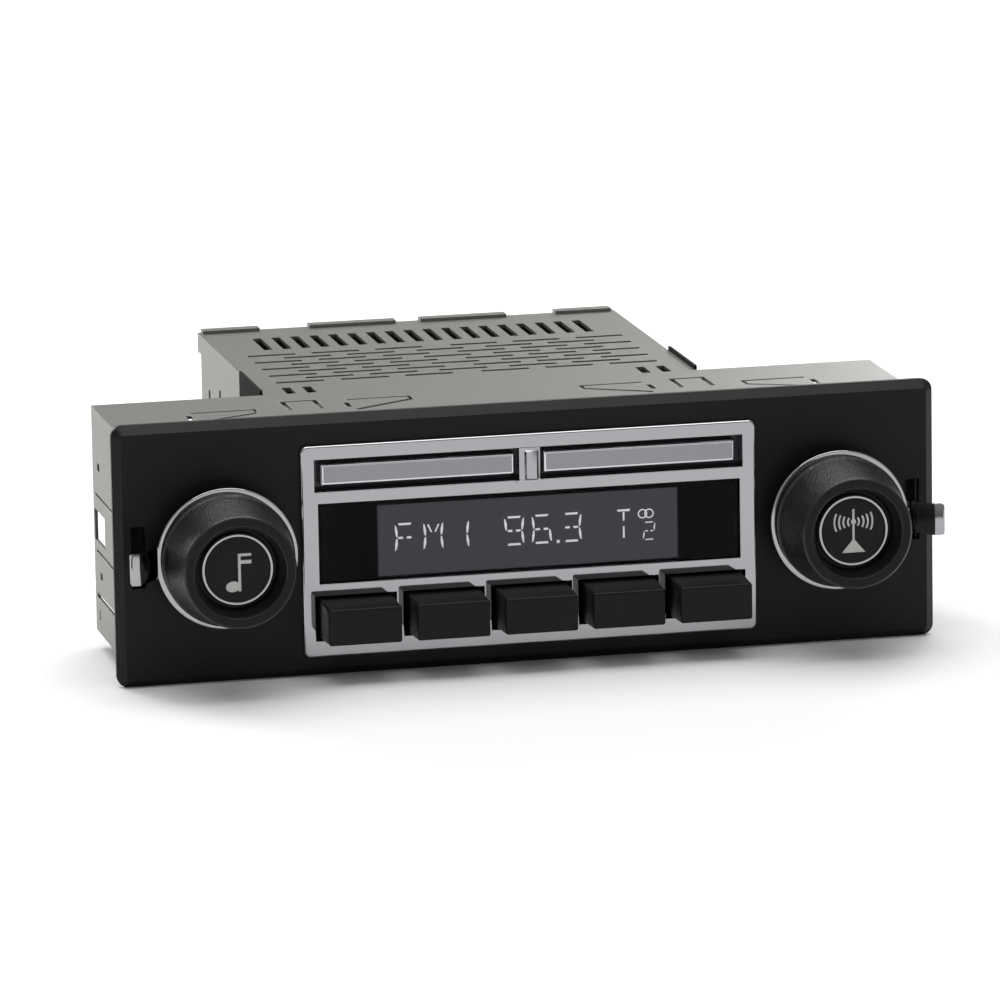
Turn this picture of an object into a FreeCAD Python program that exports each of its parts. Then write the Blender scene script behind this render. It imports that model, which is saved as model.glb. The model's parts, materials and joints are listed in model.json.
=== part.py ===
import FreeCAD, Part
import os
import re
import Sketcher
from FreeCAD import Placement, Rotation, Vector

# A classic two-knob car radio. +X is to the listener's right, the front faces -Y and +Z is up.
# The origin is the middle of the whole radio's footprint, on the surface that it stands on.

os.makedirs("parts", exist_ok=True)
doc = FreeCAD.newDocument("CarRadio")

# ---------------------------------------------------------------- driving dimensions, in mm

sizes = {
    # how far the knobs reach in front of the bezel's front face
    "front_reach": 22.0,
    # bezel: the black plate that covers the hole in the dashboard
    "bezel_width": 188.0,
    "bezel_height": 59.2,
    "bezel_thick": 2.5,
    "bezel_bevel": 1.9,
    "bezel_corner": 2.6,
    "seat_rise": 0.5,
    "seat_gap": 0.1,
    "key_slot_offset": 88.8,
    "key_slot_width": 3.2,
    "key_slot_height": 14.0,
    # mounting sleeve: the folded steel cage behind the bezel
    "sleeve_width": 182.2,
    "sleeve_height": 51.8,
    "sleeve_length": 41.5,
    "sleeve_sheet": 0.8,
    "sleeve_rise": 0.4,
    # bracket: the steel plate behind the bezel that carries both controls
    "bracket_thick": 1.2,
    "bracket_gap": 0.1,
    # nosepiece: the chrome plate with the display window and the button holes
    "nose_width": 104.0,
    "nose_height": 48.0,
    "nose_drop": 1.0,
    "nose_proud": 1.2,
    "nose_flange": 2.1,
    "nose_corner": 1.5,
    "nose_gap": 0.2,
    "nose_clear": 0.2,
    "recess_width": 98.0,
    "recess_low": 12.5,
    "recess_high": 19.8,
    "recess_floor": 2.2,
    "window_width": 96.6,
    "window_low": -8.4,
    "window_high": 9.8,
    # trim bars in the recess above the window
    "bar_inner": 3.2,
    "bar_outer": 47.5,
    "bar_low": 13.7,
    "bar_high": 18.7,
    "bar_proud": 0.5,
    "bar_bevel": 0.45,
    "divider_half": 2.4,
    "divider_proud": 1.9,
    "divider_lip": 0.7,
    # display
    "lens_inset": 0.8,
    "lens_thick": 2.0,
    "lens_gap": 0.1,
    "lcd_width": 68.8,
    "lcd_low": -7.9,
    "lcd_high": 8.2,
    "lcd_thick": 2.2,
    "frame_lip": 0.9,
    "backlight_thick": 1.8,
    "leg_offset": 45.0,
    "leg_side": 3.0,
    # push buttons
    "button_pitch": 20.05,
    "button_level": -16.2,
    "hole_width": 18.4,
    "hole_height": 10.1,
    "root_width": 16.9,
    "root_height": 9.2,
    "cap_width": 16.5,
    "cap_height": 8.2,
    "cap_reach": 11.7,
    "cap_round": 0.55,
    "stop_width": 17.4,
    "stop_height": 12.0,
    "stop_thick": 1.0,
    "stop_gap": 0.2,
    "stem_width": 6.0,
    "stem_height": 3.0,
    "stem_gap": 0.15,
    "button_travel": 1.5,
    "spring_room": 4.8,
    "guide_thick": 2.0,
    "guide_half": 48.5,
    "guide_low": -23.0,
    "guide_high": -9.3,
    "spring_radius": 3.8,
    "spring_wire": 0.3,
    "spring_gap": 0.05,
    "spring_pitch": 1.6,
    "switch_room": 4.9,
    "switch_side": 6.0,
    "switch_body": 1.5,
    "plunger_radius": 1.6,
    "plunger_tall": 0.5,
    "press_gap": 0.1,
    # front circuit board
    "front_board_half": 47.5,
    "front_board_low": -23.0,
    "front_board_high": 23.0,
    "board_thick": 1.6,
    # knobs, levers and shafts
    "shaft_offset": 70.0,
    "shaft_radius": 3.0,
    "shaft_front": 16.0,
    "shaft_rear": 15.8,
    "running_gap": 0.05,
    "tube_radius": 4.0,
    "tube_rear": 9.8,
    "bushing_radius": 5.0,
    "bushing_front": 0.4,
    "clamp_gap": 0.02,
    "nut_across": 13.0,
    "nut_thick": 2.4,
    "washer_radius": 7.8,
    "washer_thick": 0.6,
    "nut_hole": 8.6,
    "control_side": 20.0,
    "control_wall": 4.2,
    "knob_base_radius": 14.9,
    "knob_rear": 7.4,
    "knob_rim_radius": 12.56,
    "knob_wall": 2.3,
    "knob_hub_radius": 6.0,
    "dish_radius": 8.9,
    "dish_floor": 17.2,
    "cap_disc_radius": 8.3,
    "cap_face": 18.35,
    "icon_ring_outer": 8.0,
    "icon_ring_inner": 7.35,
    "icon_ring_face": 18.55,
    "lever_radius": 15.92,
    "lever_rear": 5.95,
    "lever_thick": 0.8,
    "lever_hub_radius": 7.6,
    "lever_hub_rear": 1.0,
    "arm_reach": 22.8,
    "arm_bend": 20.6,
    "arm_front": 12.6,
    "arm_height": 7.1,
    # chassis
    "chassis_width": 101.3,
    "chassis_rear": 130.0,
    "chassis_top": 25.45,
    "chassis_bottom": -24.5,
    "sheet": 0.8,
    "fold_gap": 0.1,
    "cover_gap": 0.2,
    "cover_flange": 4.5,
    "ear_reach": 7.0,
    "ear_half": 12.0,
    "tab_lap": 3.2,
    "tab_rise": 0.05,
    "tab_sheet": 0.7,
    # cooling slots in the cover
    "vent_pitch": 4.55,
    "vent_width": 2.1,
    "vent_inset": 12.5,
    "vent_length": 15.0,
    "louvre_length": 11.3,
    "louvre_width": 1.7,
    "louvre_pitch": 8.45,
    "louvre_first": 61.9,
    "side_hole_radius": 2.1,
    "side_hole_first": 66.0,
    "side_hole_pitch": 40.0,
    # inside the chassis
    "main_half": 47.0,
    "main_front": 26.0,
    "main_inset": 5.0,
    "main_under": -17.5,
    "post_radius": 3.0,
    "post_offset": 42.0,
    "post_inset": 6.0,
    "post_inset_rear": 14.0,
    "screw_radius": 1.2,
    "screw_head_radius": 2.7,
    "screw_head_tall": 1.6,
    # rear panel
    "sink_left": -47.0,
    "sink_right": -6.0,
    "sink_low": -20.0,
    "sink_high": 17.0,
    "sink_base": 3.0,
    "fin_thick": 1.2,
    "fin_tall": 7.0,
    "fin_pitch": 4.4,
    "plug_left": 4.0,
    "plug_width": 28.0,
    "plug_height": 18.0,
    "plug_inside": 18.0,
    "plug_reach": 6.0,
    "plug_depth": 12.0,
    "plug_wall": 2.0,
    "aerial_offset": 18.0,
    "aerial_level": 13.0,
    "aerial_radius": 6.2,
    "aerial_bore": 4.7,
    "aerial_depth": 14.0,
    "aerial_inside": 12.0,
    "aerial_reach": 8.0,
    "stud_radius": 2.5,
    "stud_root_radius": 3.0,
    "stud_level": 18.4,
    "stud_nut_across": 10.0,
    "stud_nut_thick": 4.0,
    "stud_free": 8.0,
    "line_offset": 41.0,
    "line_radius": 4.15,
    "line_root_radius": 4.6,
    "line_reach": 8.0,
    "line_pitch": 10.5,
    "line_level": -11.5,
    "panel_gap": 0.15,
}

sheet = doc.addObject("Spreadsheet::Sheet", "Sizes")
for row, (word, value) in enumerate(sizes.items(), start=1):
    sheet.set(f"A{row}", word)
    sheet.set(f"B{row}", str(value))
    sheet.setAlias(f"B{row}", word)
doc.recompute()

alias_words = re.compile(r"\b(" + "|".join(sorted(sizes, key=len, reverse=True)) + r")\b")

# places and sizes that several pieces share, as expressions in the sheet's words
rear_reach = "(chassis_rear + stud_nut_thick + stud_free)"
face = f"((front_reach - {rear_reach}) / 2)"
middle = "(bezel_height / 2)"
nose_body_half = "(nose_width / 2 - nose_flange)"
nose_body_low = "(nose_flange - nose_height / 2 - nose_drop)"
nose_body_high = "(nose_height / 2 - nose_flange - nose_drop)"
bracket_rear = "(bezel_thick + bracket_thick)"
chassis_half = "(chassis_width / 2)"
tray_half = "(chassis_width / 2 - sheet - fold_gap)"
cover_under = "(chassis_top - sheet)"
tray_floor = "(chassis_bottom + sheet)"
rear_wall_front = "(chassis_rear - sheet)"
nose_rear = f"({bracket_rear} - nose_clear)"
stop_front = f"({nose_rear} + stop_gap)"
stop_rear = f"({stop_front} + stop_thick)"
guide_front = f"({stop_rear} + spring_room)"
guide_rear = f"({guide_front} + guide_thick)"
front_board_front = f"({guide_rear} + switch_body + switch_room)"
plunger_tip = f"({front_board_front} - switch_body - plunger_tall)"
main_top = "(main_under + board_thick)"
main_rear = "(chassis_rear - main_inset)"
cover_front = f"({bracket_rear} + cover_gap)"
control_rear = "(shaft_rear + control_wall)"
lens_front = "(lens_inset - nose_proud)"
sleeve_low = "(sleeve_rise - sleeve_height / 2)"
sleeve_high = "(sleeve_rise + sleeve_height / 2)"


def linked(text):
    """The same expression with each sheet word as a reference to its cell."""
    return alias_words.sub(r"Sizes.\1", str(text))


def number(text):
    """What an expression comes to with the sheet's present values."""
    return float(sheet.evalExpression(linked(text)))


def bind(item, **expressions):
    for prop, text in expressions.items():
        item.setExpression(prop.replace("__", "."), linked(text))


def place(item, x, depth, level, turn=None):
    """Put an item at x, at a depth behind the bezel's face and a level above the shafts."""
    if turn:
        item.Placement = Placement(Vector(0, 0, 0), turn)
    bind(item, Placement__Base__x=x)
    bind(item, Placement__Base__y=f"{face} + ({depth})")
    bind(item, Placement__Base__z=f"{middle} + ({level})")


# ---------------------------------------------------------------- primitives and booleans

def block(name, across, depth, level):
    item = doc.addObject("Part::Box", name)
    bind(item, Length=f"({across[1]}) - ({across[0]})")
    bind(item, Width=f"({depth[1]}) - ({depth[0]})")
    bind(item, Height=f"({level[1]}) - ({level[0]})")
    place(item, across[0], depth[0], level[0])
    return item


along_y = Rotation(Vector(1, 0, 0), -90)
along_x = Rotation(Vector(0, 1, 0), 90)


def rod(name, x, depth, level, radius):
    """A cylinder along Y."""
    item = doc.addObject("Part::Cylinder", name)
    bind(item, Radius=radius, Height=f"({depth[1]}) - ({depth[0]})")
    place(item, x, depth[0], level, along_y)
    return item


def post(name, x, depth, level, radius):
    """A cylinder along Z."""
    item = doc.addObject("Part::Cylinder", name)
    bind(item, Radius=radius, Height=f"({level[1]}) - ({level[0]})")
    place(item, x, depth, level[0])
    return item


def cross_rod(name, across, depth, level, radius):
    """A cylinder along X."""
    item = doc.addObject("Part::Cylinder", name)
    bind(item, Radius=radius, Height=f"({across[1]}) - ({across[0]})")
    place(item, across[0], depth, level, along_x)
    return item


def hexagon(name, x, depth, level, across_flats):
    item = doc.addObject("Part::Prism", name)
    item.Polygon = 6
    bind(item, Circumradius=f"({across_flats}) / 1.7320508", Height=f"({depth[1]}) - ({depth[0]})")
    place(item, x, depth[0], level, along_y)
    return item


def together(name, items):
    item = doc.addObject("Part::MultiFuse", name)
    item.Shapes = items
    return item


def group(name, items):
    """Separate solids of one kind kept as one node."""
    item = doc.addObject("Part::Compound", name)
    item.Links = items
    return item


def cut(name, base, tools):
    item = doc.addObject("Part::Cut", name)
    item.Base = base
    item.Tool = tools[0] if len(tools) == 1 else group(name + "_tools", tools)
    return item


# ---------------------------------------------------------------- bodies and sketches

def start_body(name):
    return doc.addObject("PartDesign::Body", name)


def sketch_on(body, name, role, x, y, z):
    """A sketch on one of the body's own origin planes, moved by expressions in its own axes."""
    sketch = body.newObject("Sketcher::SketchObject", name)
    plane = next(item for item in body.Origin.OriginFeatures if item.Role == role)
    sketch.AttachmentSupport = [(plane, "")]
    sketch.MapMode = "FlatFace"
    bind(sketch, AttachmentOffset__Base__x=x, AttachmentOffset__Base__y=y)
    bind(sketch, AttachmentOffset__Base__z=z)
    return sketch


def front_sketch(body, name, depth):
    """Drawn as seen from the front: x across, y up from the shafts."""
    return sketch_on(body, name, "XZ_Plane", "0", middle, f"-({face} + ({depth}))")


def top_sketch(body, name, level, x="0"):
    """Drawn as seen from above: x across, y back from the bezel's face."""
    return sketch_on(body, name, "XY_Plane", x, face, f"{middle} + ({level})")


def side_sketch(body, name, x):
    """Drawn as seen along X: x back from the bezel's face, y up from the shafts."""
    return sketch_on(body, name, "YZ_Plane", face, middle, x)


def tie_point(sketch, edge, end, x, y):
    for kind, text in (("DistanceX", x), ("DistanceY", y)):
        index = sketch.addConstraint(
            Sketcher.Constraint(kind, -1, 1, edge, end, number(text)))
        sketch.setExpression(f"Constraints[{index}]", linked(text))


def outline(sketch, points):
    """A closed outline whose corners are bound to expressions."""
    first = sketch.GeometryCount
    corners = [Vector(number(x), number(y), 0) for x, y in points]
    count = len(points)
    for i in range(count):
        sketch.addGeometry(Part.LineSegment(corners[i], corners[(i + 1) % count]), False)
    for i in range(count):
        sketch.addConstraint(
            Sketcher.Constraint("Coincident", first + i, 2, first + (i + 1) % count, 1))
    for i, (x, y) in enumerate(points):
        tie_point(sketch, first + i, 1, x, y)


def rectangle(sketch, across, level):
    outline(sketch, [(across[0], level[0]), (across[1], level[0]),
                     (across[1], level[1]), (across[0], level[1])])


def disc(sketch, x, y, radius):
    edge = sketch.addGeometry(
        Part.Circle(Vector(number(x), number(y), 0), Vector(0, 0, 1), number(radius)), False)
    tie_point(sketch, edge, 3, x, y)
    index = sketch.addConstraint(Sketcher.Constraint("Radius", edge, number(radius)))
    sketch.setExpression(f"Constraints[{index}]", linked(radius))


def feature(body, kind, name, sketch, length=None, reverse=False):
    item = body.newObject("PartDesign::" + kind, name)
    item.Profile = sketch
    item.Reversed = reverse
    if length is None:
        item.Type = "ThroughAll"
    else:
        bind(item, Length=length)
    return item


def turned(name, x, points):
    """A body turned about a shaft: points are a radius and a depth behind the bezel's face."""
    body = start_body(name)
    profile = top_sketch(body, name + "_profile", "0", x)
    outline(profile, points)
    solid = body.newObject("PartDesign::Revolution", name + "_turned")
    solid.Profile = profile
    solid.ReferenceAxis = (profile, ["V_Axis"])
    solid.Angle = 360
    return body


def dress(body, kind, name, edges, size):
    """A Fillet or Chamfer on the edges of the body's tip that a test picks."""
    doc.recompute()
    tip = body.Tip
    picked = [f"Edge{i}" for i, edge in enumerate(tip.Shape.Edges, start=1) if edges(edge)]
    item = body.newObject("PartDesign::" + kind, name)
    item.Base = (tip, picked)
    bind(item, **{("Radius" if kind == "Fillet" else "Size"): size})
    return item


def at_depth(edge, depth):
    """Whether an edge lies wholly at one depth behind the bezel's face."""
    where = number(f"{face} + ({depth})")
    return all(abs(v.Point.y - where) < 0.001 for v in edge.Vertexes)


def along_depth(edge):
    ends = [v.Point for v in edge.Vertexes]
    return len(ends) == 2 and (ends[1] - ends[0]).cross(Vector(0, 1, 0)).Length < 0.001


nodes = {}


def keep(name, item):
    """Make an item a sub-part: its label names its file."""
    item.Label = name
    nodes[name] = item
    return item


sides = {"left": -1, "right": 1}

# ---------------------------------------------------------------- bezel


def corner_of(edge, half_width, half_height):
    point = edge.Vertexes[0].Point
    across = abs(abs(point.x) - number(half_width)) < 0.001
    return across and abs(abs(point.z - number(middle)) - number(half_height)) < 0.001


def make_bezel():
    body = start_body("bezel_body")
    plate = front_sketch(body, "bezel_outline", "0")
    rectangle(plate, ("-bezel_width / 2", "bezel_width / 2"),
              ("-bezel_height / 2", "bezel_height / 2"))
    feature(body, "Pad", "bezel_plate", plate, "bezel_thick", reverse=True)
    seat = front_sketch(body, "seat_outline", "bezel_thick")
    rectangle(seat, ("-bezel_width / 2", "bezel_width / 2"),
              ("-bezel_height / 2", "bezel_height / 2"))
    rectangle(seat, ("-sleeve_width / 2 - seat_gap", "sleeve_width / 2 + seat_gap"),
              (f"{sleeve_low} - seat_gap", f"{sleeve_high} + seat_gap"))
    feature(body, "Pad", "dash_seat", seat, "seat_rise", reverse=True)
    dress(body, "Fillet", "bezel_corners",
          lambda edge: along_depth(edge) and corner_of(edge, "bezel_width / 2", "bezel_height / 2"),
          "bezel_corner")
    dress(body, "Chamfer", "bezel_bevel_cut", lambda edge: at_depth(edge, "0"), "bezel_bevel")
    holes = front_sketch(body, "bezel_holes", "0")
    rectangle(holes, (f"-{nose_body_half} - nose_gap", f"{nose_body_half} + nose_gap"),
              (f"{nose_body_low} - nose_gap", f"{nose_body_high} + nose_gap"))
    for side in sides.values():
        disc(holes, f"{side} * shaft_offset", "0", "nut_hole")
        edges = [f"{side} * (key_slot_offset - key_slot_width / 2)",
                 f"{side} * (key_slot_offset + key_slot_width / 2)"]
        rectangle(holes, edges, ("-key_slot_height / 2", "key_slot_height / 2"))
    feature(body, "Pocket", "bezel_openings", holes)
    keep("bezel", body)


make_bezel()

# ---------------------------------------------------------------- mounting sleeve

sleeve_rear = "(bezel_thick + sleeve_length)"

# cuts in the sleeve's top and bottom: distance out from the middle and in from the rear edge
outer_tongue = [(71.2, 15.3), (56.3, 15.3), (56.3, 20.4), (67.4, 25.5),
                (68.0, 24.5), (57.1, 19.5), (57.1, 16.5), (71.2, 16.5)]
inner_tongue = [(34.3, 10.0), (19.6, 10.0), (19.6, 14.6), (33.8, 22.9),
                (34.6, 21.7), (20.5, 13.6), (20.5, 11.2), (34.3, 11.2)]
middle_lug = [(41.0, 19.3), (41.0, 8.5), (49.5, 8.5), (49.5, 19.3),
              (48.3, 19.3), (48.3, 9.7), (42.2, 9.7), (42.2, 19.3)]
outer_slot = [(71.6, 18.8), (72.9, 18.8), (72.9, 24.0), (71.6, 24.0)]
inner_slot = [(34.6, 13.7), (35.8, 13.7), (35.8, 19.0), (34.6, 19.0)]
front_slit = [(22.4, 25.4), (37.5, 25.4), (37.5, 26.4), (22.4, 26.4)]

# cuts in the sleeve's sides: distance in from the rear edge and up from the shafts
spring_slits = [(3.0, 25.5, 6.2, 6.8), (3.0, 25.5, -6.8, -6.2)]
side_windows = [(1.1, 14.1, -4.3, 2.9), (6.2, 9.0, 12.5, 14.2), (7.0, 9.6, -12.6, -10.9),
                (2.5, 25.9, -17.5, -16.4), (4.7, 5.8, -22.2, -20.0)]


def make_sleeve():
    body = start_body("sleeve_body")
    wall = front_sketch(body, "sleeve_section", "bezel_thick")
    rectangle(wall, ("-sleeve_width / 2", "sleeve_width / 2"), (sleeve_low, sleeve_high))
    rectangle(wall, ("-sleeve_width / 2 + sleeve_sheet", "sleeve_width / 2 - sleeve_sheet"),
              (f"{sleeve_low} + sleeve_sheet", f"{sleeve_high} - sleeve_sheet"))
    feature(body, "Pad", "sleeve_wall", wall, "sleeve_length", reverse=True)
    flat = top_sketch(body, "sleeve_top_cuts", sleeve_high)
    for side in sides.values():
        for shape in (outer_tongue, inner_tongue, middle_lug, outer_slot, inner_slot, front_slit):
            outline(flat, [(side * x, f"{sleeve_rear} - {y}") for x, y in shape])
    feature(body, "Pocket", "sleeve_top_lances", flat)
    upright = side_sketch(body, "sleeve_side_cuts", "sleeve_width / 2")
    for near, far, low, high in spring_slits + side_windows:
        rectangle(upright, (f"{sleeve_rear} - {far}", f"{sleeve_rear} - {near}"), (low, high))
    feature(body, "Pocket", "sleeve_side_lances", upright)
    keep("din_sleeve", body)


make_sleeve()

# ---------------------------------------------------------------- front bracket


def make_bracket():
    body = start_body("bracket_body")
    plate = front_sketch(body, "bracket_outline", "bezel_thick")
    half = "(sleeve_width / 2 - sleeve_sheet - bracket_gap)"
    rectangle(plate, (f"-{half}", half),
              (f"{sleeve_low} + sleeve_sheet + bracket_gap",
               f"{sleeve_high} - sleeve_sheet - bracket_gap"))
    rectangle(plate, (f"-{nose_body_half} - nose_gap", f"{nose_body_half} + nose_gap"),
              (f"{nose_body_low} - nose_gap", f"{nose_body_high} + nose_gap"))
    for side in sides.values():
        disc(plate, f"{side} * shaft_offset", "0", "bushing_radius + clamp_gap")
        for level in (-1, 1):
            disc(plate, f"{side} * ({tray_half} + ear_reach / 2)",
                 f"{level} * (ear_half - 4)", "screw_radius + clamp_gap")
    feature(body, "Pad", "bracket_plate", plate, "bracket_thick", reverse=True)
    keep("front_bracket", body)


make_bracket()

# ---------------------------------------------------------------- chrome nosepiece

button_columns = [-2, -1, 0, 1, 2]


def make_nosepiece():
    body = start_body("nosepiece_body")
    plate = front_sketch(body, "nose_outline", "-nose_proud")
    half, low, high = "(nose_width / 2)", "(-nose_height / 2 - nose_drop)", "(nose_height / 2 - nose_drop)"
    rectangle(plate, (f"-{half}", half), (low, high))
    feature(body, "Pad", "nose_plate", plate, "nose_proud", reverse=True)
    dress(body, "Fillet", "nose_corners", along_depth, "nose_corner")
    dress(body, "Chamfer", "nose_edge", lambda edge: at_depth(edge, "-nose_proud"), "0.3")
    block_sketch = front_sketch(body, "nose_block_outline", "0")
    rectangle(block_sketch, (f"-{nose_body_half}", nose_body_half), (nose_body_low, nose_body_high))
    feature(body, "Pad", "nose_block", block_sketch, nose_rear, reverse=True)
    recess = front_sketch(body, "recess_outline", "-nose_proud")
    rectangle(recess, ("-recess_width / 2", "recess_width / 2"), ("recess_low", "recess_high"))
    feature(body, "Pocket", "trim_recess", recess, "nose_proud + recess_floor")
    holes = front_sketch(body, "window_outline", "-nose_proud")
    rectangle(holes, ("-window_width / 2", "window_width / 2"), ("window_low", "window_high"))
    for column in button_columns:
        across = [f"{column} * button_pitch + {end} * hole_width / 2" for end in (-1, 1)]
        rectangle(holes, across, [f"button_level + {end} * hole_height / 2" for end in (-1, 1)])
    feature(body, "Pocket", "window_and_button_holes", holes)
    keep("nosepiece", body)


make_nosepiece()

# ---------------------------------------------------------------- trim bars and divider


def make_bar(name, side):
    body = start_body(name + "_body")
    shape = front_sketch(body, name + "_outline", "-bar_proud")
    across = (f"{side} * bar_inner", f"{side} * bar_outer")
    rectangle(shape, across, ("bar_low", "bar_high"))
    feature(body, "Pad", name + "_pad", shape, "bar_proud + recess_floor", reverse=True)
    dress(body, "Chamfer", name + "_edge", lambda edge: at_depth(edge, "-bar_proud"), "bar_bevel")
    keep(name, body)


for word, side in sides.items():
    make_bar(word + "_trim_bar", side)


def make_divider():
    middle_block = block("divider_block", ("-divider_half", "divider_half"),
                         ("-divider_proud + 0.6", "recess_floor"), ("recess_low", "recess_high"))
    rib = doc.addObject("Part::Wedge", "divider_rib")
    bind(rib, Xmin="-divider_half / 3", Xmax="divider_half / 1.6", Ymin="0", Ymax="0.6")
    bind(rib, X2min="-divider_half / 2", X2max="divider_half / 1.2")
    bind(rib, Zmin="recess_low + 0.3", Zmax="recess_high - 0.9")
    bind(rib, Z2min="recess_low", Z2max="recess_high - 0.6")
    place(rib, "0", "-divider_proud", "0")
    lip = block("divider_lip_block", ("-divider_half - divider_lip", "divider_half + divider_lip"),
                ("-divider_proud + 0.2", "-nose_proud"), ("recess_low - divider_lip", "recess_low"))
    lip_back = block("divider_lip_back", ("-divider_half", "divider_half"),
                     ("-nose_proud - 0.3", "-nose_proud"), ("recess_low", "recess_low + 0.2"))
    keep("trim_divider", together("divider_solid", [middle_block, rib, lip, lip_back]))


make_divider()

# ---------------------------------------------------------------- display

lens_half = "(window_width / 2 - lens_gap)"
lens_low = "(window_low + lens_gap)"
lens_high = "(window_high - lens_gap)"
frame_front = f"({lens_front} + lens_thick)"
lcd_rear = f"({frame_front} + lcd_thick)"


def make_display():
    keep("display_window", block("lens", (f"-{lens_half}", lens_half),
                                 (lens_front, f"{lens_front} + lens_thick"), (lens_low, lens_high)))
    lcd_across = ("-lcd_width / 2", "lcd_width / 2")
    keep("lcd_panel", block("lcd_glass", lcd_across, (frame_front, lcd_rear),
                            ("lcd_low", "lcd_high")))
    keep("backlight", block("light_guide", lcd_across,
                            (lcd_rear, f"{lcd_rear} + backlight_thick"), ("lcd_low", "lcd_high")))
    frame_rear = f"({lcd_rear} + backlight_thick + frame_lip)"
    surround = block("frame_block", (f"-{lens_half}", lens_half), (frame_front, frame_rear),
                     (lens_low, lens_high))
    opening = block("frame_opening", lcd_across, (f"{frame_front} - 1", f"{frame_rear} + 1"),
                    ("lcd_low", "lcd_high"))
    holder = cut("frame_ring", surround, [opening])
    legs = [block(f"frame_leg_{side}", (f"{side} * leg_offset - leg_side / 2",
                                        f"{side} * leg_offset + leg_side / 2"),
                  (frame_rear, front_board_front), ("-leg_side / 2", "leg_side / 2"))
            for side in sides.values()]
    keep("lcd_frame", together("frame_solid", [holder] + legs))


make_display()

# ---------------------------------------------------------------- push buttons


def make_button(number_word, column):
    x = f"({column} * button_pitch)"
    cap = doc.addObject("Part::Wedge", f"cap_{number_word}")
    bind(cap, Xmin="-cap_width / 2", Xmax="cap_width / 2", Ymin="0", Ymax="cap_reach")
    bind(cap, X2min="-root_width / 2", X2max="root_width / 2")
    bind(cap, Zmin="-cap_height / 2", Zmax="cap_height / 2")
    bind(cap, Z2min="-root_height / 2", Z2max="root_height / 2")
    place(cap, x, "-cap_reach", "button_level")
    soft = doc.addObject("Part::Fillet", f"cap_rounded_{number_word}")
    soft.Base = cap
    doc.recompute()
    radius = number("cap_round")
    face_y = number(f"{face} - 0.01")
    front_edges = [i for i, edge in enumerate(cap.Shape.Edges, start=1)
                   if min(v.Point.y for v in edge.Vertexes) < number(f"{face} - cap_reach") + 0.01
                   and min(v.Point.y for v in edge.Vertexes) < face_y]
    soft.Edges = [(i, radius, radius) for i in front_edges]
    shank = block(f"shank_{number_word}", (f"{x} - root_width / 2", f"{x} + root_width / 2"),
                  ("0", stop_front),
                  ("button_level - root_height / 2", "button_level + root_height / 2"))
    stop = block(f"stop_{number_word}", (f"{x} - stop_width / 2", f"{x} + stop_width / 2"),
                 (stop_front, stop_rear),
                 ("button_level - stop_height / 2", "button_level + stop_height / 2"))
    stem = block(f"stem_{number_word}", (f"{x} - stem_width / 2", f"{x} + stem_width / 2"),
                 (stop_rear, f"{plunger_tip} - button_travel - press_gap"),
                 ("button_level - stem_height / 2", "button_level + stem_height / 2"))
    keep(f"button_{number_word}", together(f"button_solid_{number_word}", [soft, shank, stop, stem]))


def make_button_spring(number_word, column):
    coil = doc.addObject("Part::Helix", f"coil_{number_word}")
    coil.SegmentLength = 0
    bind(coil, Radius="spring_radius", Pitch="spring_pitch")
    bind(coil, Height="spring_room - 2 * (spring_wire + spring_gap)")
    wire = doc.addObject("Part::RegularPolygon", f"coil_wire_{number_word}")
    wire.Polygon = 8
    bind(wire, Circumradius="spring_wire")
    wire.Placement = Placement(Vector(number("spring_radius"), 0, 0), along_y.inverted())
    bind(wire, Placement__Base__x="spring_radius")
    sweep = doc.addObject("Part::Sweep", f"coil_sweep_{number_word}")
    sweep.Sections = [wire]
    sweep.Spine = (coil, [])
    sweep.Solid = True
    sweep.Frenet = True
    place(sweep, f"{column} * button_pitch", f"{stop_rear} + spring_wire + spring_gap", "button_level",
          along_y)
    keep(f"button_spring_{number_word}", sweep)


for order, column in enumerate(button_columns, start=1):
    make_button(order, column)
    make_button_spring(order, column)


def make_guide():
    plate = block("guide_plate", ("-guide_half", "guide_half"), (guide_front, guide_rear),
                  ("guide_low", "guide_high"))
    slots = [block(f"guide_slot_{column}",
                   [f"{column} * button_pitch + {end} * (stem_width / 2 + stem_gap)" for end in (-1, 1)],
                   (f"{guide_front} - 1", f"{guide_rear} + 1"),
                   [f"button_level + {end} * (stem_height / 2 + stem_gap)" for end in (-1, 1)])
             for column in button_columns]
    slotted = cut("guide_slotted", plate, slots)
    posts = [block(f"guide_post_{side}", (f"{side} * leg_offset - leg_side / 2",
                                          f"{side} * leg_offset + leg_side / 2"),
                   (guide_rear, front_board_front), ("guide_low", "guide_low + leg_side"))
             for side in sides.values()]
    keep("button_guide", together("guide_solid", [slotted] + posts))


make_guide()


def make_front_board():
    keep("front_board", block("front_board_plate", ("-front_board_half", "front_board_half"),
                              (front_board_front, f"{front_board_front} + board_thick"),
                              ("front_board_low", "front_board_high")))
    switches = []
    for column in button_columns:
        x = f"({column} * button_pitch)"
        case = block(f"switch_case_{column}", (f"{x} - switch_side / 2", f"{x} + switch_side / 2"),
                     (f"{front_board_front} - switch_body", front_board_front),
                     ("button_level - switch_side / 2", "button_level + switch_side / 2"))
        plunger = rod(f"switch_plunger_{column}", x, (plunger_tip, f"{front_board_front} - switch_body"),
                      "button_level", "plunger_radius")
        switches.append(together(f"switch_{column}", [case, plunger]))
    keep("tact_switches", group("tact_switch_group", switches))


make_front_board()

# ---------------------------------------------------------------- knobs, levers and shafts


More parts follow.
